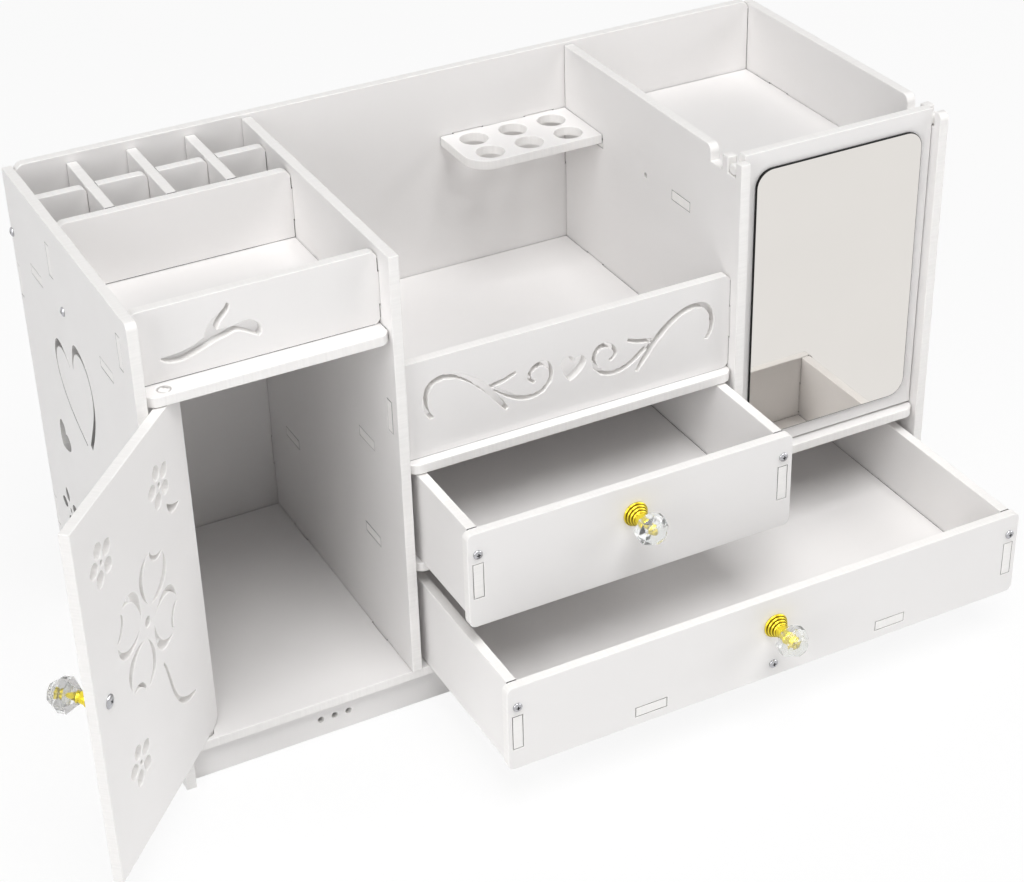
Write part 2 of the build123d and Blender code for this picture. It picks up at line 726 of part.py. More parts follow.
# Door, standing open on its pivot line
door_reach = left_bay - door_pivot_inset - door_free_gap
door_low = z_base_top + run_gap
door_high = z_left - door_top_gap
door_across = Vector(cos(radians(-door_open)), sin(radians(-door_open)), 0)
door_plane = Plane(origin=(x_pivot, y_pivot, 0), x_dir=door_across, z_dir=door_across.cross(Vector(0, 0, 1)))
door_middle = ((door_reach - door_heel) / 2, (door_low + door_high) / 2)
door_flower_places = [(door_middle[0] + across, door_high - drop) for across, drop in door_top_flowers]
door_flower_places.append((door_middle[0] + door_low_flower[0], door_low + door_low_flower[1]))
door_face = door_plane.offset(board / 2)
door_seat = Plane(
    origin=door_face.from_local_coords((door_reach - door_knob_inset, door_middle[1], 0)),
    x_dir=door_face.x_dir, z_dir=door_face.z_dir)
with BuildPart() as door_panel:
    with BuildSketch(door_plane) as outline:
        rectangle(-door_heel, door_low, door_reach, door_high)
        round_corners(outline, door_corner, (-door_heel, door_low))
        rectangle(-pivot_tab / 2, door_low - run_gap - pivot_tab_length, pivot_tab / 2,
                  door_high + door_top_gap + pivot_tab_length)
        with Locations(*door_flower_places):
            add(flower(), mode=Mode.SUBTRACT)
        with Locations(door_middle):
            with Locations(door_clover_place):
                add(clover(), mode=Mode.SUBTRACT)
            add(stroke((-10.5, -24.8, 1.0), (-15.8, -40.8, 2.2), (-21.4, -55.8, 2.4), (-30.8, -64.8, 3.4),
                       (-43.3, -68.2, 1.0)), mode=Mode.SUBTRACT)
            add(crescent((-37.4, 58.3), (-43.4, 51.8), (-51.4, 51.3), 4.4), mode=Mode.SUBTRACT)
    extrude(amount=board / 2, both=True)
    knob_bore(door_seat)
keep(door_panel, "door_panel")
knob("door", door_seat)

# Mirror flap, hanging by its ears in the front notches
x_flap_left = x_right_bay + flap_side_gap
x_flap_right = x_right_in - flap_side_gap
z_flap_foot = z_long_top + flap_foot_gap
z_flap_top = height + flap_top_rise
with BuildPart() as mirror_panel:
    with BuildSketch(wall_plane(y_flap + board / 2)):
        rectangle(x_flap_left, z_flap_foot, x_flap_right, z_flap_top)
    extrude(amount=board)
    with BuildSketch(Plane.YZ.offset(x_right_divider + ear_end_gap)):
        with Locations((y_flap, z_flap_axis)):
            RectangleRounded(board, board, ear_round)
    extrude(amount=width / 2 - ear_end_gap - (x_right_divider + ear_end_gap))
keep(mirror_panel, "mirror_panel")

with BuildPart() as mirror_plate:
    with BuildSketch(wall_plane(y_flap - board / 2)):
        mirror_low = z_flap_foot + mirror_foot_margin
        mirror_high = z_flap_top - mirror_top_margin
        with Locations(((x_flap_left + x_flap_right) / 2, (mirror_low + mirror_high) / 2)):
            RectangleRounded(x_flap_right - x_flap_left - 2 * mirror_side_margin,
                             mirror_high - mirror_low, mirror_corner)
    extrude(amount=mirror_thickness)
keep(mirror_plate, "mirror_plate")


def drawer(owner, left, right, y_face, y_end, z_side, z_top, z_front, z_floor, floor_tab_spacing):
    """Front, two sides, back, floor, screws and knob of one drawer between two walls."""
    front_left = left + front_side_gap
    front_right = right - front_side_gap
    side_lefts = (front_left + side_inset, front_right - side_inset - board)
    x_mid = (left + right) / 2
    y_inside = y_face + board
    z_floor_top = z_floor + board
    z_front_tab = z_top - front_tab_drop
    z_back_tab = (z_floor_top + z_top) / 2
    floor_tab_middles = [x_mid + sign * floor_tab_spacing / 2 for sign in (-1, 1) if floor_tab_spacing]
    screw_places = [
        Plane(origin=(x_side + board / 2, y_face, z_top - front_screw_drop), z_dir=(0, 1, 0))
        for x_side in side_lefts
    ]
    if floor_tab_spacing:
        screw_places.append(Plane(origin=(x_mid, y_face, z_floor + board / 2), z_dir=(0, 1, 0)))
    seat = Plane(origin=(x_mid, y_face, z_top - knob_drop), x_dir=(1, 0, 0), z_dir=(0, -1, 0))

    with BuildPart() as front:
        with BuildSketch(wall_plane(y_inside)) as outline:
            rectangle(front_left, z_front, front_right, z_top)
            fillet(outline.vertices(), front_corner)
            with Locations(*[(x_side + board / 2, z_front_tab) for x_side in side_lefts]):
                Rectangle(slot_wide, front_tab + 2 * slot_gap, mode=Mode.SUBTRACT)
            for x_tab in floor_tab_middles:
                with Locations((x_tab, z_floor + board / 2)):
                    Rectangle(slot_long, slot_wide, mode=Mode.SUBTRACT)
        extrude(amount=board)
        drill(screw_places, board)
        knob_bore(seat)
    keep(front, f"{owner}_front")

    for side_name, x_side in zip(("left", "right"), side_lefts):
        with BuildPart() as side:
            with BuildSketch(Plane.YZ.offset(x_side)):
                rectangle(y_inside, z_side, y_end, z_top)
                rectangle(y_face, z_front_tab - front_tab / 2, y_inside, z_front_tab + front_tab / 2)
                upright_slot(y_end - 2 * board, z_back_tab)
            extrude(amount=board)
            drill(screw_places, screw_length + pilot_gap)
        keep(side, f"{owner}_{side_name}_side")

    inner_left = side_lefts[0] + board
    inner_right = side_lefts[1]
    with BuildPart() as back:
        with BuildSketch(wall_plane(y_end - board)):
            rectangle(inner_left, z_floor_top, inner_right, z_top)
            end_tabs(inner_left, inner_right, (z_back_tab,))
        extrude(amount=board)
    keep(back, f"{owner}_back")

    with BuildPart() as floor:
        with BuildSketch(Plane.XY.offset(z_floor)):
            rectangle(inner_left, y_inside, inner_right, y_end)
            for x_tab in floor_tab_middles:
                rectangle(x_tab - tab / 2, y_face, x_tab + tab / 2, y_inside)
        extrude(amount=board)
        drill(screw_places, screw_length + pilot_gap)
    keep(floor, f"{owner}_floor")

    with BuildPart() as screws:
        for place in screw_places:
            add(screw(place, screw_length))
    keep(screws, f"{owner}_screws")
    knob(owner, seat)


# Drawers, pulled out as they stand in use
upper_shut = y_shelf - run_gap - board
upper_side = z_long_top + run_gap
drawer("upper_drawer", x_middle, x_right_divider, upper_shut - upper_pull,
       y_back_in - drawer_rear_gap - upper_pull, upper_side, z_shelf - upper_top_gap,
       z_long_top - upper_front_drop, upper_side, 0)
lower_side = z_base_top + run_gap
drawer("lower_drawer", x_middle, x_right_in, y_front - lower_pull,
       y_back_in - drawer_rear_gap - lower_pull, lower_side, z_long - lower_top_gap,
       z_base_top + lower_front_rise, lower_side + lower_floor_rise, lower_floor_tab_spacing)
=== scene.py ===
"""Makeup organizer with a mirror flap: the finish of every board, knob, screw and mirror, and the stage.

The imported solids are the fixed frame. Each board is a copy of its solid with eased edges and a
matt foam-board finish; knobs, screws and the mirror are modelled here on the places that the frame gives.
"""
import json
from math import cos, pi, radians, sin

import bmesh
import bpy
from bpy.props import FloatProperty, FloatVectorProperty, IntProperty, PointerProperty
from mathutils import Euler, Matrix, Vector
from mathutils.bvhtree import BVHTree


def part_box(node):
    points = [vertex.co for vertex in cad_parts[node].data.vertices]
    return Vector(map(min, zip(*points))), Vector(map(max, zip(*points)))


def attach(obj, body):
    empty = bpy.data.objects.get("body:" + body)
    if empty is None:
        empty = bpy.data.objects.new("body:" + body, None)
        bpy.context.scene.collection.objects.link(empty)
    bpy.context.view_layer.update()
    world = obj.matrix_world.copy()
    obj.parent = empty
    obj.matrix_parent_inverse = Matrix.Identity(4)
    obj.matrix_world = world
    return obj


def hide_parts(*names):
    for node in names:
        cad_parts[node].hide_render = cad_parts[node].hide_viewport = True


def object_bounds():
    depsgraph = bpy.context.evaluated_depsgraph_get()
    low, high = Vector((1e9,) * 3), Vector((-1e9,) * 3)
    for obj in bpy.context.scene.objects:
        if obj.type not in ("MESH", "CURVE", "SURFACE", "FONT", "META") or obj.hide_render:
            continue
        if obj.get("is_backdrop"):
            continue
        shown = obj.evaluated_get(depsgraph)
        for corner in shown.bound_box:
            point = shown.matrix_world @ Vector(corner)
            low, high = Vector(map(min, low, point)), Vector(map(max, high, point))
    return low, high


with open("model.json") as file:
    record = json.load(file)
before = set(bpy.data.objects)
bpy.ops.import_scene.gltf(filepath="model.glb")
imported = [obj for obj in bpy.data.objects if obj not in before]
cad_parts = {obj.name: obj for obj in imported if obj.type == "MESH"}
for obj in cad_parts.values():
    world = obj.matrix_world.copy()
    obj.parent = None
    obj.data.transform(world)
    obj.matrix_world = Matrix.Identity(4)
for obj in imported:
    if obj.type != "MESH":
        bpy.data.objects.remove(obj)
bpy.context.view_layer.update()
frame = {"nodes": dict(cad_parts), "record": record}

bl_info = {
    "name": "Makeup organizer",
    "version": (1, 0, 0),
    "blender": (4, 5, 0),
    "location": "3D View > Sidebar > Organizer",
    "description": "Dresses the makeup organizer's frame with boards, knobs, screws and a mirror",
    "category": "Object",
}

DRAWERS = ("upper_drawer", "lower_drawer")
KNOB_OWNERS = ("door", *DRAWERS)
UP = Vector((0, 0, 1))

# Boards whose cut-outs or edges are treated apart
FLOWERED = "door_panel"
STROKED = ("middle_front_panel", "front_plinth")
# board whose narrow cut walls get painted shade
WALL_SHADE_BOARD = "left_side_panel"
FINE_CUT = (*STROKED, WALL_SHADE_BOARD)

# Limits for telling faces, edges and corners of a solid apart
TINY = 1e-7  # edges shorter than this go after easing
MERGE = 1e-6  # corners nearer than this are one
SLACK = 1e-5  # levels nearer than this are one
FLAT = radians(0.2)  # faces that meet under this angle are one
SHARP = radians(40)  # edges over this angle are eased
CREASE = radians(50)  # edges over this angle stay sharp in the shading
ALONG = 0.9  # least part of a normal along its axis
BROAD = 0.98  # least part of a broad face's normal across the board
WALL = 0.05  # greatest part of a wall's normal across the board
SHARP_TIP = 0.5  # the mean normal of a sharp tip's walls is shorter than this
ROUND_SLACK = 0.05  # share of its radius by which a round hole may stray
EYE_SLACK = 1e-4  # a cut nearer a flower's middle than this is its eye
CURVE_WIDTH = 0.0045  # walls narrower than this belong to a curve
CURVE_AREA = 1e-5  # rim faces of the mirror under this area belong to a curve

# Lesser proportions of the knobs
FOOT_STEPS = 48
FOOT_CREASE = radians(45)
ROSETTE_SHARE = 0.62
RING_TAPER = 0.5
RING_TURNS = 6
CORE_TIP = 6e-4
CORE_TIP_RATIO = 0.7
# share and strength of the painted shade in the foot's grooves
GROOVE_SHADE_SHARE = 0.15
GROOVE_SHADE_STRENGTH = 0.8
BORE_BITE = 2e-5
FACET_EDGE = 1.2e-4
FACET_FLAT = radians(0.5)

# Lesser proportions of the screws
SCREW_STEPS = 32
DOME_TURNS = 6
HEAD_RIM = 0.3
POINT_RATIO = 0.4
POINT_LENGTH = 2.4
RECESS_TAPER = 0.55
HEAD_SHARE = 0.95
HEAD_STEP = 1e-4

# Numbers of a mix node's first, second and result sockets
MIX_SOCKETS = {"FLOAT": (2, 3, 0), "RGBA": (6, 7, 2)}

# Lesser values of the sawn edges' finish
MARK_STRETCH = 20
MARK_DEPTH = 1.5
SAWN_ROUGHNESS = 0.62

# Fixed measures of the stage
SENSOR_WIDTH = 36.0
FLOOR_HALF = 6.0
FLOOR_ROUGHNESS = 0.8


class OrganizerBoards(bpy.types.PropertyGroup):
    """Finish of the white foam board."""

    edge_round: FloatProperty(
        name="Edge round", description="Width of the eased edge of a board", default=0.0005, unit="LENGTH")
    edge_steps: IntProperty(
        name="Edge steps", description="Facets across an eased edge", default=2, min=1)
    face_colour: FloatVectorProperty(
        name="Face colour", description="Skin of the board", subtype="COLOR", default=(0.865, 0.85, 0.842))
    # sawn edges: the foam's own whiter tone, lightened further as painted light for the brighter lit edges
    cut_colour: FloatVectorProperty(
        name="Cut tone and light", description="Sawn edges of the board: foam tone lightened by painted light", subtype="COLOR",
        default=(0.92, 0.905, 0.89))
    # Painted shade: a near-black colour laid on eased faces in the gaps between boards and on the left side's
    # narrow cut walls, where shade falls
    joint_colour: FloatVectorProperty(
        name="Painted shade colour", description="Painted shade where two boards meet and on the left side's narrow cut walls", subtype="COLOR",
        default=(0.01, 0.01, 0.01))
    joint_reach: FloatProperty(
        name="Joint shade reach", description="How near another board an eased edge must lie to be a joint line",
        default=0.0004, unit="LENGTH")
    butt_gap: FloatProperty(
        name="Butt gap", description="Gap under which two boards butt, with a full joint line",
        default=0.00017, unit="LENGTH")
    butt_line: FloatProperty(
        name="Butt shade", description="Strength of the line where two boards butt; over one it is more even",
        default=1.6)
    slot_line: FloatProperty(
        name="Slot shade", description="Strength of the fainter line round a tab in its slot", default=0.85,
        subtype="FACTOR")
    # painted shade on the walls of the left side's narrow cuts
    wall_shade: FloatProperty(
        name="Wall shade", description="Strength of the painted shade on the walls of the left side's narrow cuts",
        default=0.65, subtype="FACTOR")
    grain_size: FloatProperty(
        name="Grain size", description="Pitch of the skin's fine grain", default=0.0009, unit="LENGTH")
    grain_depth: FloatProperty(
        name="Grain depth", description="Height of the skin's fine grain", default=0.00003, unit="LENGTH")


class OrganizerOrnament(bpy.types.PropertyGroup):
    """Cut-out ornament, cut fuller here than in the solids."""

    stroke_growth: FloatProperty(
        name="Stroke growth", description="How far the walls of the scroll and the vents are set back",
        default=0.00045, unit="LENGTH")
    least_web: FloatProperty(
        name="Least web", description="Narrowest board left between two cuts that are set back",
        default=0.0016, unit="LENGTH")
    stroke_round: FloatProperty(
        name="Stroke round", description="Width of the eased edge of a board with fine cuts", default=0.0003,
        unit="LENGTH")
    clover_eye: FloatProperty(
        name="Clover eye", description="Radius of the hole in the middle of the clover", default=0.003,
        unit="LENGTH")
    clover_reach: FloatProperty(
        name="Clover reach", description="Middle of the clover to the furthest cut of a leaf", default=0.039,
        unit="LENGTH")
    leaf_tip: FloatProperty(
        name="Leaf tip", description="Middle of the clover to where only the notch of a leaf lies",
        default=0.03, unit="LENGTH")
    leaf_spread: FloatProperty(
        name="Leaf spread", description="Width of a leaf over that of the solid's", default=1.7)
    flower_eye: FloatProperty(
        name="Flower eye", description="Radius of the hole in the middle of a flower", default=0.0015,
        unit="LENGTH")
    flower_reach: FloatProperty(
        name="Flower reach", description="Middle of a flower to the furthest middle of a petal",
        default=0.014, unit="LENGTH")
    petal_spread: FloatProperty(
        name="Petal spread", description="Width of a petal over that of the solid's", default=1.3)
    petal_draw: FloatProperty(
        name="Petal draw", description="How far a petal is drawn in to its flower's middle", default=0.002,
        unit="LENGTH")


class OrganizerKnobs(bpy.types.PropertyGroup):
    """Shape and finish of the crystal knobs."""

    gold_colour: FloatVectorProperty(
        name="Gold colour", description="Plated foot of a knob", subtype="COLOR", default=(0.90, 0.72, 0.06))
    # painted shade in the foot's grooves
    groove_colour: FloatVectorProperty(
        name="Groove shade colour", description="Painted shade in the grooves of the foot", subtype="COLOR",
        default=(0.16, 0.12, 0.01))
    crystal_colour: FloatVectorProperty(
        name="Crystal colour", description="Tint of the crystal", subtype="COLOR", default=(0.97, 0.98, 0.98))
    crystal_bend: FloatProperty(
        name="Crystal index", description="Index of refraction of the crystal", default=1.40)
    rings: IntProperty(
        name="Rings", description="Rounded steps of the foot", default=4, min=2)
    lobes: IntProperty(
        name="Lobes", description="Facets round the crystal", default=8, min=5)
    foot_ratio: FloatProperty(
        name="Foot ratio", description="Radius of the crystal's foot over its greatest radius", default=0.48)
    table_ratio: FloatProperty(
        name="Table ratio", description="Radius of the crystal's flat table over its greatest radius",
        default=0.58)
    skirt_share: FloatProperty(
        name="Skirt share", description="Share of the crystal's height in the skirt", default=0.333,
        subtype="FACTOR")
    girdle_share: FloatProperty(
        name="Girdle share", description="Share of the crystal's height in the girdle", default=0.30,
        subtype="FACTOR")
    neck_ratio: FloatProperty(
        name="Neck ratio", description="Radius of the tapered core at the rosette over the rosette's",
        default=0.50)
    stem_ratio: FloatProperty(
        name="Stem ratio", description="Radius of the tapered core at its tip over the rosette's",
        default=0.22)


class OrganizerScrews(bpy.types.PropertyGroup):
    """Shape and finish of the pan-head screws."""

    steel_colour: FloatVectorProperty(
        name="Steel colour", description="Plating of the screws", subtype="COLOR", default=(0.52, 0.52, 0.54))
    recess_colour: FloatVectorProperty(
        name="Recess colour", description="Shaded walls of the cross recess", subtype="COLOR",
        default=(0.03, 0.03, 0.032))
    knob_head_ratio: FloatProperty(
        name="Knob head ratio", description="Radius of a knob screw's head over that of its solid",
        default=1.4)
    recess_width: FloatProperty(
        name="Recess width", description="Arm of the cross recess", default=0.0009, unit="LENGTH")
    recess_reach: FloatProperty(
        name="Recess reach", description="Tip to tip of the cross recess", default=0.0032, unit="LENGTH")
    recess_depth: FloatProperty(
        name="Recess depth", description="Depth of the cross recess", default=0.0011, unit="LENGTH")


class OrganizerMirror(bpy.types.PropertyGroup):
    """Finish of the mirror."""

    silver_colour: FloatVectorProperty(
        name="Silver colour", description="Mirror face", subtype="COLOR", default=(0.775, 0.748, 0.715))
    rim_colour: FloatVectorProperty(
        name="Rim colour", description="Cut rim of the mirror", subtype="COLOR",
        default=(0.012, 0.012, 0.012))
    rim_round: FloatProperty(
        name="Rim round", description="Eased rim of the mirror", default=0.0005, unit="LENGTH")


class OrganizerStage(bpy.types.PropertyGroup):
    """Camera, floor and lights."""

    camera_place: FloatVectorProperty(
        name="Camera place", description="Where the camera stands", subtype="TRANSLATION", unit="LENGTH",
        default=(-0.5134, -0.9514, 0.8317))
    camera_yaw: FloatProperty(
        name="Camera yaw", description="Turn of the camera to the right", subtype="ANGLE",
        default=radians(26.754))
    camera_pitch: FloatProperty(
        name="Camera pitch", description="Tilt of the camera down", subtype="ANGLE", default=radians(32.243))
    camera_roll: FloatProperty(
        name="Camera roll", description="Roll of the camera", subtype="ANGLE", default=radians(-1.644))
    camera_lens: FloatProperty(
        name="Camera lens", description="Focal length in millimetres on a sensor 36 mm wide", default=78.28)
    floor_colour: FloatVectorProperty(
        name="Floor colour", description="Pale floor", subtype="COLOR", default=(0.92, 0.92, 0.92))
    floor_inset: FloatProperty(
        name="Floor inset", description="How far inside the cabinet's foot the floor stops glowing",
        default=0.003, unit="LENGTH")
    floor_glow: FloatProperty(
        name="Floor glow", description="Share of plain white that the camera sees on the floor", default=0.88,
        subtype="FACTOR")
    sky_light: FloatProperty(
        name="Sky light", description="Strength of the even surrounding light", default=0.03)
    left_light: FloatProperty(
        name="Left light", description="Power of the soft box at the left", default=58.0, unit="POWER")
    right_light: FloatProperty(
        name="Right light", description="Power of the soft box at the right", default=50.0, unit="POWER")
    high_light: FloatProperty(
        name="High light", description="Power of the soft box overhead", default=111.0, unit="POWER")
    left_place: FloatVectorProperty(
        name="Left place", description="Where the left soft box hangs", subtype="TRANSLATION",
        unit="LENGTH", default=(-3.05, -1.3, 1.55))
    right_place: FloatVectorProperty(
        name="Right place", description="Where the right soft box hangs", subtype="TRANSLATION",
        unit="LENGTH", default=(3.05, -1.3, 1.55))
    high_place: FloatVectorProperty(
        name="High place", description="Where the soft box overhead hangs", subtype="TRANSLATION",
        unit="LENGTH", default=(-0.25, -1.4, 3.8))
    light_size: FloatProperty(
        name="Light size", description="Side of each soft box", default=2.4, unit="LENGTH")


class Nodes:
    """Shorthand for wiring one material."""

    def __init__(self, name):
        self.material = bpy.data.materials.new(name)
        self.material.use_nodes = True
        self.tree = self.material.node_tree
        self.shader = self.tree.nodes["Principled BSDF"]

    def add(self, kind, settings=None, **inputs):
        """New node with its settings and input values; an input may be another node's socket."""
        node = self.tree.nodes.new(kind)
        for key, value in (settings or {}).items():
            setattr(node, key, value)
        for key, value in inputs.items():
            self.put(node.inputs[key.replace("_", " ")], value)
        return node

    def put(self, socket, value):
        """Set a socket, or link it where the value is another socket."""
        if isinstance(value, bpy.types.NodeSocket):
            self.tree.links.new(value, socket)
        else:
            socket.default_value = value

    def shade(self, **inputs):
        """Set or link sockets of the surface shader."""
        for key, value in inputs.items():
            self.put(self.shader.inputs[key.replace("_", " ")], value)

    def noise(self, place, pitch, detail=2.0, rough=0.5):
        """Noise of a given pitch in metres."""
        return self.add("ShaderNodeTexNoise", Vector=place, Scale=1 / pitch, Detail=detail,
                        Roughness=rough).outputs["Fac"]

    def spread(self, value, low, high):
        """Map a noise from its usual span to a range."""
        return self.add("ShaderNodeMapRange", Value=value, From_Min=0.3, From_Max=0.7, To_Min=low,
                        To_Max=high).outputs["Result"]

    def place(self):
        """Place on the object in metres."""
        return self.add("ShaderNodeTexCoord").outputs["Object"]

    def mark(self, name):
        """Value of a face attribute."""
        return self.add("ShaderNodeAttribute", {"attribute_name": name}).outputs["Fac"]

    def mix(self, kind, factor, first, second):
        """Mix two values or two colours."""
        node = self.add("ShaderNodeMix", {"data_type": kind})
        low, high, result = MIX_SOCKETS[kind]
        self.put(node.inputs[0], factor)
        self.put(node.inputs[low], first)
        self.put(node.inputs[high], second)
        return node.outputs[result]

    def blend(self, factor, first, second):
        """Mix two colours."""
        return self.mix("RGBA", factor, first, second)

    def mottle(self, value, colour, factor):
        """A colour that a noise darkens in places."""
        return self.blend(self.spread(value, 0.0, 1.0), opaque(colour, factor), opaque(colour))

    def work(self, operation, first, second):
        """One arithmetic step on two values."""
        node = self.add("ShaderNodeMath", {"operation": operation})
        self.put(node.inputs[0], first)
        self.put(node.inputs[1], second)
        return node.outputs[0]


def opaque(colour, factor=1.0):
    """Four-part colour from a property, darkened by a factor."""
    return (*(part * factor for part in colour), 1.0)


def foam_board_finish(turn):
    """White foamed board: fine-grained skin, sawn edges marked across the thickness and lightened partly by
    painted light, painted shade in the joints and on narrow cut walls.
    """
    name = "foam_board_" + "_".join(str(round(value * 180 / pi)) for value in turn)
    if name in bpy.data.materials:
        return bpy.data.materials[name]
    look = bpy.context.scene.organizer_boards
    nodes = Nodes(name)
    place = nodes.place()
    along = nodes.add("ShaderNodeMapping", {"vector_type": "TEXTURE"}, Vector=place, Rotation=turn,
                      Scale=(1, 1, MARK_STRETCH)).outputs["Vector"]
    cut = nodes.mark("cut")
    painted_shade_mark = nodes.mark("painted_shade_mark")
    grain = nodes.noise(place, look.grain_size, rough=0.6)
    marks = nodes.noise(along, pitch=0.0012)
    skin = nodes.mottle(nodes.noise(place, pitch=0.06, detail=3.0), look.face_colour, 0.985)
    # sawn edge colour: the foam's tone with painted light
    sawn_and_lit = nodes.mottle(marks, look.cut_colour, 0.96)
    skin_rough = nodes.spread(nodes.noise(place, pitch=0.02, detail=3.0), 0.40, 0.52)
    rough = nodes.mix("FLOAT", cut, skin_rough, SAWN_ROUGHNESS)
    sawn_height = nodes.work("MULTIPLY", nodes.work("MULTIPLY", marks, cut), MARK_DEPTH)
    height = nodes.work("ADD", grain, sawn_height)
    bump = nodes.add("ShaderNodeBump", Height=height, Strength=1.0, Distance=look.grain_depth)
    uneven = nodes.spread(nodes.noise(place, pitch=0.05, detail=1.0), 0.4, 1.0)
    # painted shade from the face mark, made uneven by a noise
    painted_shade = nodes.work("MULTIPLY", painted_shade_mark, uneven)
    colour = nodes.blend(painted_shade, nodes.blend(cut, skin, sawn_and_lit), opaque(look.joint_colour))
    nodes.shade(Base_Color=colour, Roughness=rough, Normal=bump.outputs["Normal"], IOR=1.5)
    return nodes.material


def gold_finish():
    """Polished gold plating with faint clouding, with painted shade in the grooves."""
    look = bpy.context.scene.organizer_knobs
    nodes = Nodes("gold_plating")
    place = nodes.place()
    cloud = nodes.noise(place, pitch=0.004, detail=3.0)
    plated = nodes.mottle(cloud, look.gold_colour, 0.9)
    colour = nodes.blend(nodes.mark("groove_shade"), plated, opaque(look.groove_colour))
    ripple = nodes.noise(place, pitch=0.0012)
    bump = nodes.add("ShaderNodeBump", Height=ripple, Strength=0.3, Distance=0.00002)
    nodes.shade(Base_Color=colour, Metallic=1.0, Roughness=nodes.spread(cloud, 0.10, 0.20),
                Normal=bump.outputs["Normal"])
    return nodes.material


def crystal_finish():
    """Clear moulded crystal with a slightly uneven polish."""
    look = bpy.context.scene.organizer_knobs
    nodes = Nodes("clear_crystal")
    place = nodes.place()
    polish = nodes.spread(nodes.noise(place, pitch=0.003), 0.0, 0.035)
    ripple = nodes.noise(place, pitch=0.005)
    bump = nodes.add("ShaderNodeBump", Height=ripple, Strength=0.15, Distance=0.0001)
    nodes.shade(Base_Color=opaque(look.crystal_colour), Roughness=polish, IOR=look.crystal_bend,
                Transmission_Weight=0.95, Normal=bump.outputs["Normal"])
    return nodes.material


def screw_finish():
    """Plated steel with faint clouding."""
    look = bpy.context.scene.organizer_screws
    nodes = Nodes("plated_steel")
    place = nodes.place()
    cloud = nodes.noise(place, pitch=0.0015, detail=3.0)
    nodes.shade(Base_Color=nodes.mottle(cloud, look.steel_colour, 0.8), Metallic=1.0,
                Roughness=nodes.spread(cloud, 0.10, 0.22))
    return nodes.material


def recess_finish():
    """Shaded walls of a cross recess, with a little wear."""
    look = bpy.context.scene.organizer_screws
    nodes = Nodes("recess_shade")
    place = nodes.place()
    worn = nodes.mottle(nodes.noise(place, pitch=0.0006), look.recess_colour, 0.6)
    nodes.shade(Base_Color=worn, Metallic=1.0, Roughness=0.5)
    return nodes.material


def silver_finish():
    """Mirror face: silvered, with the faintest unevenness."""
    look = bpy.context.scene.organizer_mirror
    nodes = Nodes("mirror_silver")
    place = nodes.place()
    cloud = nodes.noise(place, pitch=0.05)
    nodes.shade(Base_Color=nodes.mottle(cloud, look.silver_colour, 0.985), Metallic=1.0,
                Roughness=nodes.spread(cloud, 0.01, 0.03))
    return nodes.material


def rim_finish():
    """Cut rim of the mirror plate."""
    look = bpy.context.scene.organizer_mirror
    nodes = Nodes("mirror_rim")
    place = nodes.place()
    marks = nodes.noise(place, pitch=0.0008)
    nodes.shade(Base_Color=nodes.mottle(marks, look.rim_colour, 0.7), IOR=1.5, Specular_IOR_Level=0.15,
                Roughness=nodes.spread(marks, 0.25, 0.40))
    return nodes.material


def make_object(bm, name, materials):
    """Turn a bmesh into an object of the scene."""
    mesh = bpy.data.meshes.new(name)
    bm.to_mesh(mesh)
    bm.free()
    for material in materials:
        mesh.materials.append(material)
    piece = bpy.data.objects.new(name, mesh)
    bpy.context.scene.collection.objects.link(piece)
    return piece


def finish_piece(bm, name, body, slot, materials, *nodes):
    """Turn a bmesh into a piece that rides on a body and stands for some nodes."""
    piece = make_object(bm, name, materials)
    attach(piece, body)
    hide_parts(*nodes)


def merged_copy(node):
    """Copy of a node's solid with its loose triangles joined."""
    bm = bmesh.new()
    bm.from_mesh(frame["nodes"][node].data)
    bmesh.ops.remove_doubles(bm, verts=bm.verts, dist=MERGE)
    return bm


def solid_copy(node):
    """Copy of a node's solid with whole faces in place of triangles."""
    bm = merged_copy(node)
    bmesh.ops.dissolve_limit(bm, angle_limit=FLAT, verts=bm.verts, edges=bm.edges)
    return bm


def crease(bm, angle):
    """Keep an edge sharp where its faces meet at more than an angle."""
    for edge in bm.edges:
        edge.smooth = not edge.is_manifold or edge.calc_face_angle() < angle


def stand(point, out):
    """Turn and shift that stand a piece, its axis up, on a point and along a direction."""
    return Matrix.Translation(point) @ UP.rotation_difference(out).to_matrix().to_4x4()


def ease_edges(bm, width, steps):
    """Round every sharp outer edge; gives the new faces."""
    sharp = [edge for edge in bm.edges if edge.is_convex and edge.calc_face_angle() > SHARP]
    made = bmesh.ops.bevel(bm, geom=sharp, offset=width, offset_type="OFFSET", segments=steps, profile=0.5,
                           affect="EDGES", material=-1, clamp_overlap=False)["faces"]
    bmesh.ops.dissolve_degenerate(bm, dist=TINY, edges=bm.edges)
    return [face for face in made if face.is_valid]


def broad_normal(bm):
    """Direction across the thickness of a board: the normal of its largest face."""
    return max(bm.faces, key=lambda face: face.calc_area()).normal.copy()


def turn_of(normal):
    """Turn that takes the Z axis to the direction across a board."""
    if abs(normal.z) > ALONG:
        return (0.0, 0.0, 0.0)
    if abs(normal.x) > ALONG:
        return (0.0, pi / 2, 0.0)
    if abs(normal.y) > ALONG:
        return (-pi / 2, 0.0, 0.0)
    return (-pi / 2, 0.0, normal.xy.angle_signed(Vector((0, 1))))


def search_trees(body):
    """Search tree over the solid of each board of a body."""
    trees = {}
    for node in boards_of(body):
        bm = solid_copy(node)
        trees[node] = BVHTree.FromBMesh(bm)
        bm.free()
    return trees


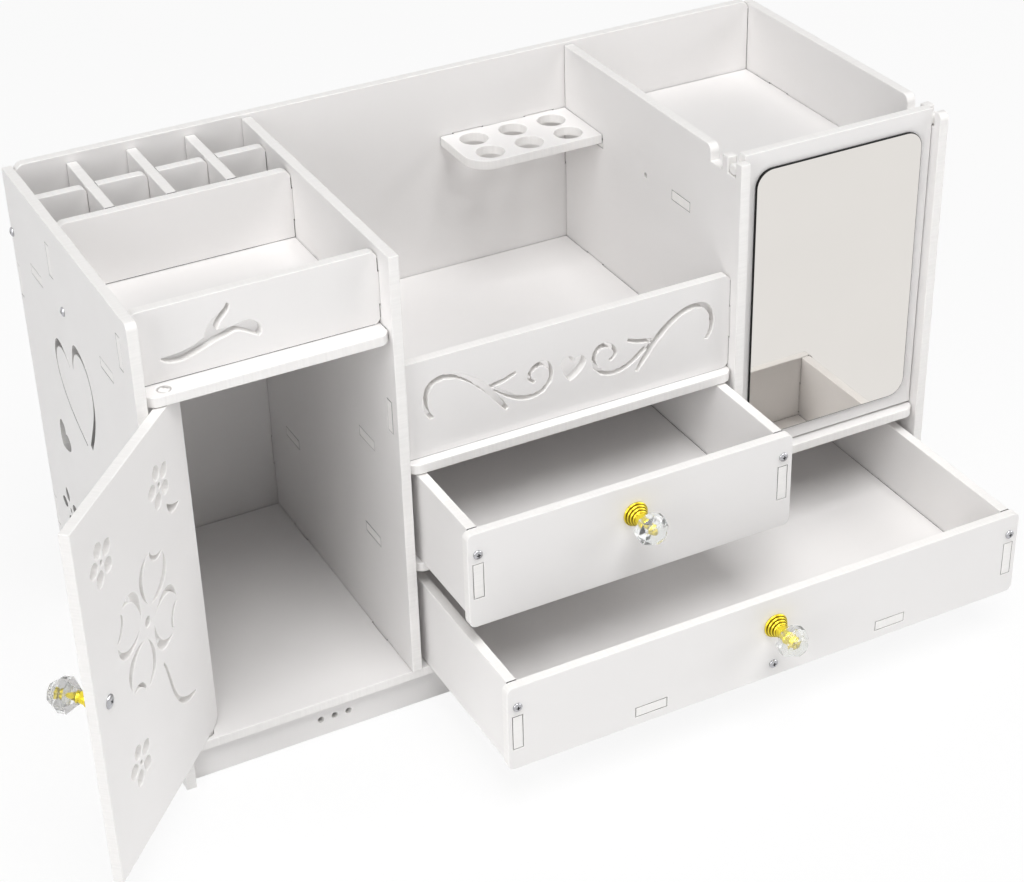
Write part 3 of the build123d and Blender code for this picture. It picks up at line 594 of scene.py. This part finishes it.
def joint_strength(face, trees):
    """Strength of the painted joint shade on an eased face: full where boards butt, fainter round a tab in a
    slot.
    """
    look = bpy.context.scene.organizer_boards
    centre = face.calc_center_median()
    near = [tree for tree in trees if tree.find_nearest(centre, look.joint_reach)[0] is not None]
    if not near:
        return 0.0
    gap = min(tree.find_nearest(vert.co)[3] for tree in near for vert in face.verts)
    return look.butt_line if gap < look.butt_gap else look.slot_line


def centre_of(verts):
    """Mean place of some vertices."""
    return sum((vert.co for vert in verts), Vector()) / len(verts)


def is_wall(face, across):
    """Whether a face runs through the thickness of a board."""
    return abs(face.normal.dot(across)) < WALL


def hole_rings(bm, across):
    """Vertices round each hole through a board, without the longest ring, which is the board's outline."""
    walls = {face for face in bm.faces if is_wall(face, across)}
    bm.verts.index_update()
    rings = []
    for first in bm.faces:
        if first not in walls:
            continue
        walls.remove(first)
        stack = [first]
        ring = set()
        while stack:
            face = stack.pop()
            ring.update(face.verts)
            beside = {other for edge in face.edges for other in edge.link_faces} & walls
            walls -= beside
            stack.extend(beside)
        rings.append(sorted(ring, key=lambda vert: vert.index))
    outline = max(rings, key=lambda ring: max((vert.co - ring[0].co).length for vert in ring))
    return [ring for ring in rings if ring is not outline]


def eyes(rings, across, radius):
    """Middles of the round holes of one radius."""
    found = []
    for ring in rings:
        centre = centre_of(ring)
        spans = [(vert.co - centre).cross(across).length for vert in ring]
        if max(abs(span - radius) for span in spans) < ROUND_SLACK * radius:
            found.append(centre)
    return found


def widen(verts, pivot, side, ratio):
    """Stretch vertices away from a line through the pivot."""
    for vert in verts:
        vert.co += side * (vert.co - pivot).dot(side) * (ratio - 1)


def fuller_flowers(bm, across):
    """Broaden the leaves of the clover and the petals of the flowers cut through a board."""
    look = bpy.context.scene.organizer_ornament
    rings = [(centre_of(ring), ring) for ring in hole_rings(bm, across)]
    plain = [ring for centre, ring in rings]
    for eye in eyes(plain, across, look.clover_eye):
        leaves = [(centre - eye, ring) for centre, ring in rings
                  if EYE_SLACK < (centre - eye).length < look.clover_reach]
        tips = [arm.normalized() for arm, ring in leaves if arm.length > look.leaf_tip]
        for arm, ring in leaves:
            axis = max(tips, key=arm.dot)
            widen(ring, eye, across.cross(axis), look.leaf_spread)
    for eye in eyes(plain, across, look.flower_eye):
        for centre, ring in rings:
            arm = centre - eye
            if EYE_SLACK < arm.length < look.flower_reach:
                axis = arm.normalized()
                widen(ring, eye, across.cross(axis), look.petal_spread)
                bmesh.ops.translate(bm, verts=ring, vec=-axis * look.petal_draw)


def fuller_strokes(bm, across):
    """Set back the walls of holes through a board, less where little board is left, not at sharp tips."""
    look = bpy.context.scene.organizer_ornament
    growth = look.stroke_growth
    tree = BVHTree.FromBMesh(bm)
    ends = [vert.co.dot(across) for vert in bm.verts]
    level = (min(ends) + max(ends)) / 2
    moves = []
    for ring in hole_rings(bm, across):
        for vert in ring:
            walls = [face.normal for face in vert.link_faces if is_wall(face, across)]
            back = -sum(walls, Vector()) / len(walls)
            if back.length < SHARP_TIP:
                continue
            back.normalize()
            start = vert.co + across * (level - vert.co.dot(across)) + back * SLACK
            room = tree.ray_cast(start, back, look.least_web + 2 * growth)[3]
            spare = growth if room is None else max(0.0, (room - look.least_web) / 2)
            moves.append((vert, back * min(growth, spare)))
    for vert, move in moves:
        vert.co += move


def close_broad_faces(bm, across):
    """Make the two broad faces of a board anew round its moved holes."""
    for out in (across, -across):
        top = max(vert.co.dot(out) for vert in bm.verts)
        broad = {face for face in bm.faces if face.normal.dot(out) > BROAD
                 and abs(face.calc_center_median().dot(out) - top) < SLACK}
        bounds = {edge for face in broad for edge in face.edges}
        rim = [edge for edge in bm.edges if edge in bounds and set(edge.link_faces) - broad]
        bmesh.ops.delete(bm, geom=[face for face in bm.faces if face in broad], context="FACES")
        filled = bmesh.ops.triangle_fill(bm, use_beauty=True, use_dissolve=False, edges=rim, normal=out)
        for item in filled["geom"]:
            if isinstance(item, bmesh.types.BMFace) and item.normal.dot(out) < 0:
                item.normal_flip()
    if not all(edge.is_manifold for edge in bm.edges):
        raise RuntimeError("a broad face did not close round its holes")
    bmesh.ops.dissolve_limit(bm, angle_limit=FLAT, verts=bm.verts, edges=bm.edges)
    bm.normal_update()


def dress_board(node, body, trees):
    """Board piece with eased edges, its sawn faces and its painted shade (in joints, and on the left side's
    cut walls) marked and its curved cuts smooth.
    """
    look = bpy.context.scene.organizer_boards
    bm = solid_copy(node)
    cut = bm.faces.layers.float.new("cut")
    painted_shade_mark = bm.faces.layers.float.new("painted_shade_mark")
    across = broad_normal(bm)
    if node == FLOWERED:
        fuller_flowers(bm, across)
        close_broad_faces(bm, across)
    elif node in STROKED:
        fuller_strokes(bm, across)
    others = [tree for name, tree in trees.items() if name != node]
    ends = [vert.co.dot(across) for vert in bm.verts]
    thickness = max(ends) - min(ends)
    width = bpy.context.scene.organizer_ornament.stroke_round if node in FINE_CUT else look.edge_round
    # painted shade on the walls of the left side's narrow cuts, where shade falls
    if node == WALL_SHADE_BOARD:
        inner = {vert for ring in hole_rings(bm, across) for vert in ring}
        for face in bm.faces:
            if inner.issuperset(face.verts) and is_wall(face, across):
                face[painted_shade_mark] = look.wall_shade
    # eased faces in the joints between boards get painted shade
    for face in ease_edges(bm, width, look.edge_steps):
        face[painted_shade_mark] = max(joint_strength(face, others), face[painted_shade_mark])
    for face in bm.faces:
        face[cut] = 0.0 if abs(face.normal.dot(across)) > BROAD else 1.0
        face.smooth = is_wall(face, across) and face.calc_area() < thickness * CURVE_WIDTH
    crease(bm, CREASE)
    finish_piece(bm, f"{node}_board", body, "white_board", [foam_board_finish(turn_of(across))], node)


def boards_of(body):
    """Names of the board nodes of one body."""
    slots = {part["node"]: part["material_slot"] for part in frame["record"]["subparts"]}
    return [node for node in frame["record"]["behaviour"]["bodies"][body] if slots[node] == "white_board"]


def dress_boards(body):
    """All board pieces of one body."""
    trees = search_trees(body)
    for node in trees:
        dress_board(node, body, trees)


def middle(node):
    """Middle of a node's box."""
    low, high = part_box(node)
    return (low + high) / 2


class Seat:
    """Place of a knob: the point on the board's face, the direction outwards and the knob's lengths."""

    def __init__(self, owner):
        foot, crystal = f"{owner}_knob_base", f"{owner}_knob_crystal"
        self.out = (middle(crystal) - middle(foot)).normalized()
        foot_ends = self.ends(foot)
        crystal_ends = self.ends(crystal)
        centre = middle(foot)
        self.point = centre + self.out * (foot_ends[0] - centre.dot(self.out))
        self.foot_top = foot_ends[1] - foot_ends[0]
        self.crystal_low = crystal_ends[0] - foot_ends[0]
        self.crystal_high = crystal_ends[1] - foot_ends[0]
        self.rings_top = self.crystal_low * ROSETTE_SHARE
        self.foot_radius = self.reach(foot)
        self.crystal_radius = self.reach(crystal)

    def ends(self, node):
        """Least and greatest place of a node along the knob's axis."""
        along = [vert.co.dot(self.out) for vert in frame["nodes"][node].data.vertices]
        return min(along), max(along)

    def reach(self, node):
        """Half the height of a node, which is round about a level axis."""
        low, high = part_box(node)
        return (high.z - low.z) / 2


def lathe(bm, profile, steps):
    """Spin a profile of (radius, height) points about the upright axis, on which both its ends lie."""
    verts = [bm.verts.new((radius, 0, height)) for radius, height in profile]
    edges = [bm.edges.new(pair) for pair in zip(verts, verts[1:])]
    bmesh.ops.spin(bm, geom=verts + edges, axis=UP, cent=(0, 0, 0), dvec=(0, 0, 0), angle=2 * pi,
                   steps=steps, use_merge=True, use_duplicate=False)
    bmesh.ops.remove_doubles(bm, verts=bm.verts, dist=MERGE)
    bmesh.ops.recalc_face_normals(bm, faces=bm.faces)


def core_radius(seat, height):
    """Radius of the tapered core, which runs from the rosette's top to the tip inside the crystal."""
    look = bpy.context.scene.organizer_knobs
    share = (height - seat.rings_top) / (seat.foot_top - seat.rings_top)
    return seat.foot_radius * (look.neck_ratio + (look.stem_ratio - look.neck_ratio) * share)


def rounded_rings(seat, rings):
    """Profile of the foot: rounded steps that rise to the tapered core inside the crystal."""
    bead = seat.rings_top / rings / 2
    points = [(0, 0)]
    for number in range(rings):
        radius = seat.foot_radius * (1 - RING_TAPER * number / rings)
        for turn in range(RING_TURNS + 1):
            angle = radians(180 * turn / RING_TURNS - 90)
            points.append((radius - bead + bead * cos(angle), (2 * number + 1) * bead + bead * sin(angle)))
    points += [(core_radius(seat, height), height) for height in (seat.rings_top, seat.foot_top - CORE_TIP)]
    points += [(core_radius(seat, seat.foot_top) * CORE_TIP_RATIO, seat.foot_top), (0, seat.foot_top)]
    return points


def knob_foot(owner, gold):
    """Gold foot of a knob: a ringed rosette and the tapered core that holds the crystal."""
    seat = Seat(owner)
    rings = bpy.context.scene.organizer_knobs.rings
    bm = bmesh.new()
    groove_shade = bm.faces.layers.float.new("groove_shade")
    lathe(bm, rounded_rings(seat, rings), FOOT_STEPS)
    for face in bm.faces:
        face.smooth = True
        height = face.calc_center_median().z
        # faces low in each groove between the rings get painted shade
        place = height / seat.rings_top * rings % 1
        low = height < seat.rings_top and min(place, 1 - place) < GROOVE_SHADE_SHARE
        face[groove_shade] = GROOVE_SHADE_STRENGTH if low else 0.0
    crease(bm, FOOT_CREASE)
    bm.transform(stand(seat.point, seat.out))
    finish_piece(bm, f"{owner}_knob_rosette", owner, "gold_metal", [gold], f"{owner}_knob_base")


def raise_ring(bm, end, rise, radius, turn=0.0):
    """Extrude an end face along the axis to a ring of another radius, turned if wanted; gives the new end."""
    grown = bmesh.ops.extrude_face_region(bm, geom=[end])["geom"]
    ring = [item for item in grown if isinstance(item, bmesh.types.BMVert)]
    ratio = radius / ring[0].co.xy.length
    bmesh.ops.scale(bm, verts=ring, vec=(ratio, ratio, 1))
    bmesh.ops.rotate(bm, verts=ring, cent=(0, 0, 0), matrix=Matrix.Rotation(turn, 3, "Z"))
    bmesh.ops.translate(bm, verts=ring, vec=(0, 0, rise))
    return next(item for item in grown if isinstance(item, bmesh.types.BMFace))


def knob_crystal(owner, glass):
    """Faceted crystal: a skirt at the back, a plain girdle, a crown and a flat table, bored for the core."""
    seat = Seat(owner)
    look = bpy.context.scene.organizer_knobs
    half = pi / look.lobes
    tall = seat.crystal_high - seat.crystal_low
    wide = seat.crystal_radius
    foot, table = wide * look.foot_ratio, wide * look.table_ratio
    skirt, girdle = tall * look.skirt_share, tall * look.girdle_share
    crown = (tall - skirt - girdle) / 2
    bore = core_radius(seat, seat.crystal_low) - BORE_BITE
    bm = bmesh.new()
    bmesh.ops.create_circle(bm, cap_ends=True, segments=look.lobes, radius=foot,
                            matrix=Matrix.Translation((0, 0, seat.crystal_low)))
    base = bm.faces[:][0]
    end = raise_ring(bm, base, skirt, wide)
    end = raise_ring(bm, end, girdle, wide)
    end = raise_ring(bm, end, crown, (wide + table) / 2 * cos(half), half)
    raise_ring(bm, end, crown, table, half)
    kites = [face for face in bm.faces if len(face.verts) == 4]
    bmesh.ops.triangulate(bm, faces=kites, quad_method="SHORT_EDGE")
    bmesh.ops.dissolve_limit(bm, angle_limit=FACET_FLAT, verts=bm.verts, edges=bm.edges)
    bmesh.ops.recalc_face_normals(bm, faces=bm.faces)
    bmesh.ops.bevel(bm, geom=bm.edges[:], offset=FACET_EDGE, offset_type="OFFSET", segments=1, profile=0.5,
                    affect="EDGES", material=-1, clamp_overlap=True)
    base = min(bm.faces, key=lambda face: face.calc_center_median().z)
    bmesh.ops.inset_individual(bm, faces=[base], thickness=(foot - bore) * cos(half))
    raise_ring(bm, base, seat.foot_top - seat.crystal_low, core_radius(seat, seat.foot_top) - BORE_BITE)
    bmesh.ops.recalc_face_normals(bm, faces=bm.faces)
    bm.transform(stand(seat.point, seat.out))
    finish_piece(bm, f"{owner}_knob_jewel", owner, "crystal", [glass], f"{owner}_knob_crystal")


def pan_head_screw(radius, head, shank, length, materials):
    """Screw in its own frame: the head's seat at the origin, the shank up, a cross recess in the head."""
    look = bpy.context.scene.organizer_screws
    bm = bmesh.new()
    dome = [(radius * cos(angle), -head * (HEAD_RIM + (1 - HEAD_RIM) * sin(angle)))
            for angle in (radians(90 * turn / DOME_TURNS) for turn in range(DOME_TURNS))]
    point = [(0, length), (shank * POINT_RATIO, length - shank), (shank, length - POINT_LENGTH * shank)]
    lathe(bm, [*point, (shank, 0), (radius, 0), *dome, (0, -head)], SCREW_STEPS)
    for face in bm.faces:
        face.smooth = True
    crease(bm, CREASE)
    body = make_object(bm, "screw_blank", materials)
    bm = bmesh.new()
    for arm in ((look.recess_reach, look.recess_width), (look.recess_width, look.recess_reach)):
        made = bmesh.ops.create_cube(bm, size=1.0)["verts"]
        bmesh.ops.scale(bm, verts=made, vec=(*arm, 2 * look.recess_depth))
        floor = [vert for vert in made if vert.co.z > 0]
        bmesh.ops.scale(bm, verts=floor, vec=(RECESS_TAPER, RECESS_TAPER, 1.0))
    bmesh.ops.translate(bm, verts=bm.verts, vec=(0, 0, -head))
    for face in bm.faces:
        face.material_index = 1
    cutter = make_object(bm, "screw_recess", materials)
    recess = body.modifiers.new("Recess", "BOOLEAN")
    recess.operation = "DIFFERENCE"
    recess.solver = "EXACT"
    recess.use_self = True
    recess.object = cutter
    shaped = bpy.data.meshes.new_from_object(body.evaluated_get(bpy.context.evaluated_depsgraph_get()))
    for piece in (body, cutter):
        bpy.data.objects.remove(piece)
    return shaped


def loose_solids(node):
    """Vertex places of each separate solid of a node."""
    bm = merged_copy(node)
    left = set(bm.verts)
    solids = []
    for first in bm.verts:
        if first not in left:
            continue
        left.remove(first)
        stack = [first]
        places = []
        while stack:
            vert = stack.pop()
            places.append(vert.co.copy())
            for edge in vert.link_edges:
                other = edge.other_vert(vert)
                if other in left:
                    left.remove(other)
                    stack.append(other)
        solids.append(places)
    bm.free()
    return solids


def screw_place(places, axis):
    """Head seat, direction of the shank and sizes of one screw from the corners of its solid."""
    centre = sum(places, Vector()) / len(places)
    along = [place.dot(axis) for place in places]
    spread = [(place - centre - axis * (place - centre).dot(axis)).length for place in places]
    radius = max(spread)
    seat = [value for value, wide in zip(along, spread) if wide > HEAD_SHARE * radius]
    if sum(seat) / len(seat) > (min(along) + max(along)) / 2:
        axis = -axis
        along = [-value for value in along]
        seat = [-value for value in seat]
    base = max(seat)
    point = centre + axis * (base - centre.dot(axis))
    shank = max(wide for value, wide in zip(along, spread) if value > base + HEAD_STEP)
    return point, axis, radius, base - min(along), shank, max(along) - base


def long_axis(places):
    """Row axis that a screw lies along."""
    spans = [max(row) - min(row) for row in zip(*places)]
    axis = Vector((0, 0, 0))
    axis[spans.index(max(spans))] = 1.0
    return axis


def dress_screws(node, body, materials, axis=None, head_ratio=1.0):
    """All screws of a node as pan heads with a cross recess."""
    bm = bmesh.new()
    for places in loose_solids(node):
        point, inward, radius, head, shank, length = screw_place(places, axis or long_axis(places))
        shaped = pan_head_screw(radius * head_ratio, head, shank, length, materials)
        shaped.transform(stand(point, inward))
        bm.from_mesh(shaped)
        bpy.data.meshes.remove(shaped)
    finish_piece(bm, f"{node}_pan_heads", body, "screw_steel", materials, node)


class ORGANIZER_OT_cabinet(bpy.types.Operator):
    """Dress the fixed boards of the cabinet"""

    bl_idname = "organizer.cabinet"
    bl_label = "Cabinet boards"

    def execute(self, context):
        dress_boards("cabinet")
        return {"FINISHED"}


class ORGANIZER_OT_door(bpy.types.Operator):
    """Dress the door board with its cut-out flowers"""

    bl_idname = "organizer.door"
    bl_label = "Door board"

    def execute(self, context):
        dress_boards("door")
        return {"FINISHED"}


class ORGANIZER_OT_drawers(bpy.types.Operator):
    """Dress the boards of both drawers"""

    bl_idname = "organizer.drawers"
    bl_label = "Drawer boards"

    def execute(self, context):
        for body in DRAWERS:
            dress_boards(body)
        return {"FINISHED"}


class ORGANIZER_OT_mirror(bpy.types.Operator):
    """Dress the mirror flap: its backing board and the mirror plate"""

    bl_idname = "organizer.mirror"
    bl_label = "Mirror flap"

    def execute(self, context):
        dress_boards("mirror_flap")
        bm = solid_copy("mirror_plate")
        ease_edges(bm, context.scene.organizer_mirror.rim_round, steps=2)
        for face in bm.faces:
            face.material_index = 0 if face.normal.y < -BROAD else 1
            face.smooth = abs(face.normal.y) < WALL and face.calc_area() < CURVE_AREA
        finish_piece(bm, "mirror_glass_plate", "mirror_flap", "mirror_glass", [silver_finish(), rim_finish()],
                     "mirror_plate")
        return {"FINISHED"}


class ORGANIZER_OT_knobs(bpy.types.Operator):
    """Model the gold feet and crystals of the knobs"""

    bl_idname = "organizer.knobs"
    bl_label = "Knobs"

    def execute(self, context):
        gold = gold_finish()
        glass = crystal_finish()
        for owner in KNOB_OWNERS:
            knob_foot(owner, gold)
            knob_crystal(owner, glass)
        return {"FINISHED"}


class ORGANIZER_OT_screws(bpy.types.Operator):
    """Model the screws with their cross recesses"""

    bl_idname = "organizer.screws"
    bl_label = "Screws"

    def execute(self, context):
        materials = [screw_finish(), recess_finish()]
        dress_screws("carcass_screws", "cabinet", materials)
        for owner in DRAWERS:
            dress_screws(f"{owner}_screws", owner, materials)
        for owner in KNOB_OWNERS:
            dress_screws(f"{owner}_knob_screw", owner, materials, Seat(owner).out,
                         context.scene.organizer_screws.knob_head_ratio)
        return {"FINISHED"}


def lamp(name, place, target, size, power):
    """Square soft lamp aimed at a point."""
    light = bpy.data.lights.new(name, "AREA")
    light.size = size
    light.energy = power
    holder = bpy.data.objects.new(name, light)
    holder.location = place
    holder.rotation_euler = (Vector(target) - Vector(place)).to_track_quat("-Z", "Y").to_euler()
    bpy.context.scene.collection.objects.link(holder)


def seen_white(tree):
    """One for rays that show the surroundings: from the camera, by reflection or through glass."""
    path = tree.nodes.new("ShaderNodeLightPath")
    total = path.outputs["Is Camera Ray"]
    for ray in ("Is Glossy Ray", "Is Transmission Ray"):
        join = tree.nodes.new("ShaderNodeMath")
        join.operation = "MAXIMUM"
        tree.links.new(total, join.inputs[0])
        tree.links.new(path.outputs[ray], join.inputs[1])
        total = join.outputs[0]
    return total


class ORGANIZER_OT_stage(bpy.types.Operator):
    """Set the camera, the pale floor, the lamps and the surrounding light"""

    bl_idname = "organizer.stage"
    bl_label = "Stage"

    def execute(self, context):
        look = context.scene.organizer_stage
        self.make_camera(context, look)
        self.make_floor(look)
        self.make_sky(context, look)
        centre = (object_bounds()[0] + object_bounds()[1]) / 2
        lamp("left_soft_box", look.left_place, centre, look.light_size, look.left_light)
        lamp("right_soft_box", look.right_place, centre, look.light_size, look.right_light)
        lamp("high_soft_box", look.high_place, centre, look.light_size, look.high_light)
        context.scene.view_settings.view_transform = "Standard"
        return {"FINISHED"}

    def make_camera(self, context, look):
        """Camera at the photograph's angle."""
        camera = bpy.data.cameras.new("camera")
        camera.sensor_fit = "HORIZONTAL"
        camera.sensor_width = SENSOR_WIDTH
        camera.lens = look.camera_lens
        holder = bpy.data.objects.new("camera", camera)
        yaw = Euler((0, 0, -look.camera_yaw)).to_matrix()
        pitch = Euler((pi / 2 - look.camera_pitch, 0, 0)).to_matrix()
        turn = yaw @ pitch @ Euler((0, 0, look.camera_roll)).to_matrix()
        holder.matrix_world = Matrix.Translation(look.camera_place) @ turn.to_4x4()
        context.scene.collection.objects.link(holder)
        context.scene.camera = holder

    def make_floor(self, look):
        """Pale floor that keeps a soft shadow and doesn't glow under the cabinet."""
        bm = bmesh.new()
        bmesh.ops.create_grid(bm, x_segments=1, y_segments=1, size=FLOOR_HALF)
        inset = Vector((look.floor_inset, look.floor_inset, 0))
        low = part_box("left_side_panel")[0] + inset
        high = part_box("right_side_panel")[1] - inset
        low.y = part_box("front_plinth")[0].y + look.floor_inset
        for corner in (low, high):
            for across in ((1, 0, 0), (0, 1, 0)):
                whole = bm.verts[:] + bm.edges[:] + bm.faces[:]
                bmesh.ops.bisect_plane(bm, geom=whole, plane_co=corner, plane_no=across)
        for face in bm.faces:
            centre = face.calc_center_median()
            face.material_index = int(low.x < centre.x < high.x and low.y < centre.y < high.y)
        nodes = Nodes("pale_floor")
        nodes.shade(Base_Color=opaque(look.floor_colour), Roughness=FLOOR_ROUGHNESS)
        glow = nodes.add("ShaderNodeEmission", Strength=1.0)
        mix = nodes.add("ShaderNodeMixShader")
        share = nodes.work("MULTIPLY", seen_white(nodes.tree), look.floor_glow)
        nodes.put(mix.inputs[0], share)
        nodes.put(mix.inputs[1], nodes.shader.outputs[0])
        nodes.put(mix.inputs[2], glow.outputs[0])
        nodes.put(nodes.tree.nodes["Material Output"].inputs["Surface"], mix.outputs[0])
        hidden = Nodes("floor_under_cabinet")
        hidden.shade(Base_Color=opaque(look.floor_colour), Roughness=FLOOR_ROUGHNESS)
        make_object(bm, "floor", [nodes.material, hidden.material])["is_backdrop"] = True

    def make_sky(self, context, look):
        """Even surrounding light, plain white where it is seen."""
        world = bpy.data.worlds.new("studio")
        world.use_nodes = True
        tree = world.node_tree
        backdrop = tree.nodes["Background"]
        backdrop.inputs["Color"].default_value = (1, 1, 1, 1)
        strength = tree.nodes.new("ShaderNodeMapRange")
        tree.links.new(seen_white(tree), strength.inputs["Value"])
        strength.inputs["To Min"].default_value = look.sky_light
        strength.inputs["To Max"].default_value = 1.0
        tree.links.new(strength.outputs["Result"], backdrop.inputs["Strength"])
        context.scene.world = world


class ORGANIZER_PT_panel(bpy.types.Panel):
    """Steps that dress the organizer"""

    bl_idname = "ORGANIZER_PT_panel"
    bl_label = "Makeup organizer"
    bl_space_type = "VIEW_3D"
    bl_region_type = "UI"
    bl_category = "Organizer"

    def draw(self, context):
        for step in STEPS:
            self.layout.operator(step.bl_idname)


STEPS = (
    ORGANIZER_OT_cabinet,
    ORGANIZER_OT_door,
    ORGANIZER_OT_drawers,
    ORGANIZER_OT_mirror,
    ORGANIZER_OT_knobs,
    ORGANIZER_OT_screws,
    ORGANIZER_OT_stage,
)
SETTINGS = {
    "organizer_boards": OrganizerBoards,
    "organizer_ornament": OrganizerOrnament,
    "organizer_knobs": OrganizerKnobs,
    "organizer_screws": OrganizerScrews,
    "organizer_mirror": OrganizerMirror,
    "organizer_stage": OrganizerStage,
}


def register():
    for kind in (*SETTINGS.values(), *STEPS, ORGANIZER_PT_panel):
        bpy.utils.register_class(kind)
    for name, kind in SETTINGS.items():
        setattr(bpy.types.Scene, name, PointerProperty(type=kind))


def unregister():
    for name in SETTINGS:
        delattr(bpy.types.Scene, name)
    for kind in reversed((*SETTINGS.values(), *STEPS, ORGANIZER_PT_panel)):
        bpy.utils.unregister_class(kind)


def main():
    """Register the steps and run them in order."""
    register()
    bpy.ops.organizer.cabinet()
    bpy.ops.organizer.door()
    bpy.ops.organizer.drawers()
    bpy.ops.organizer.mirror()
    bpy.ops.organizer.knobs()
    bpy.ops.organizer.screws()
    bpy.ops.organizer.stage()


if __name__ == "__main__":
    main()
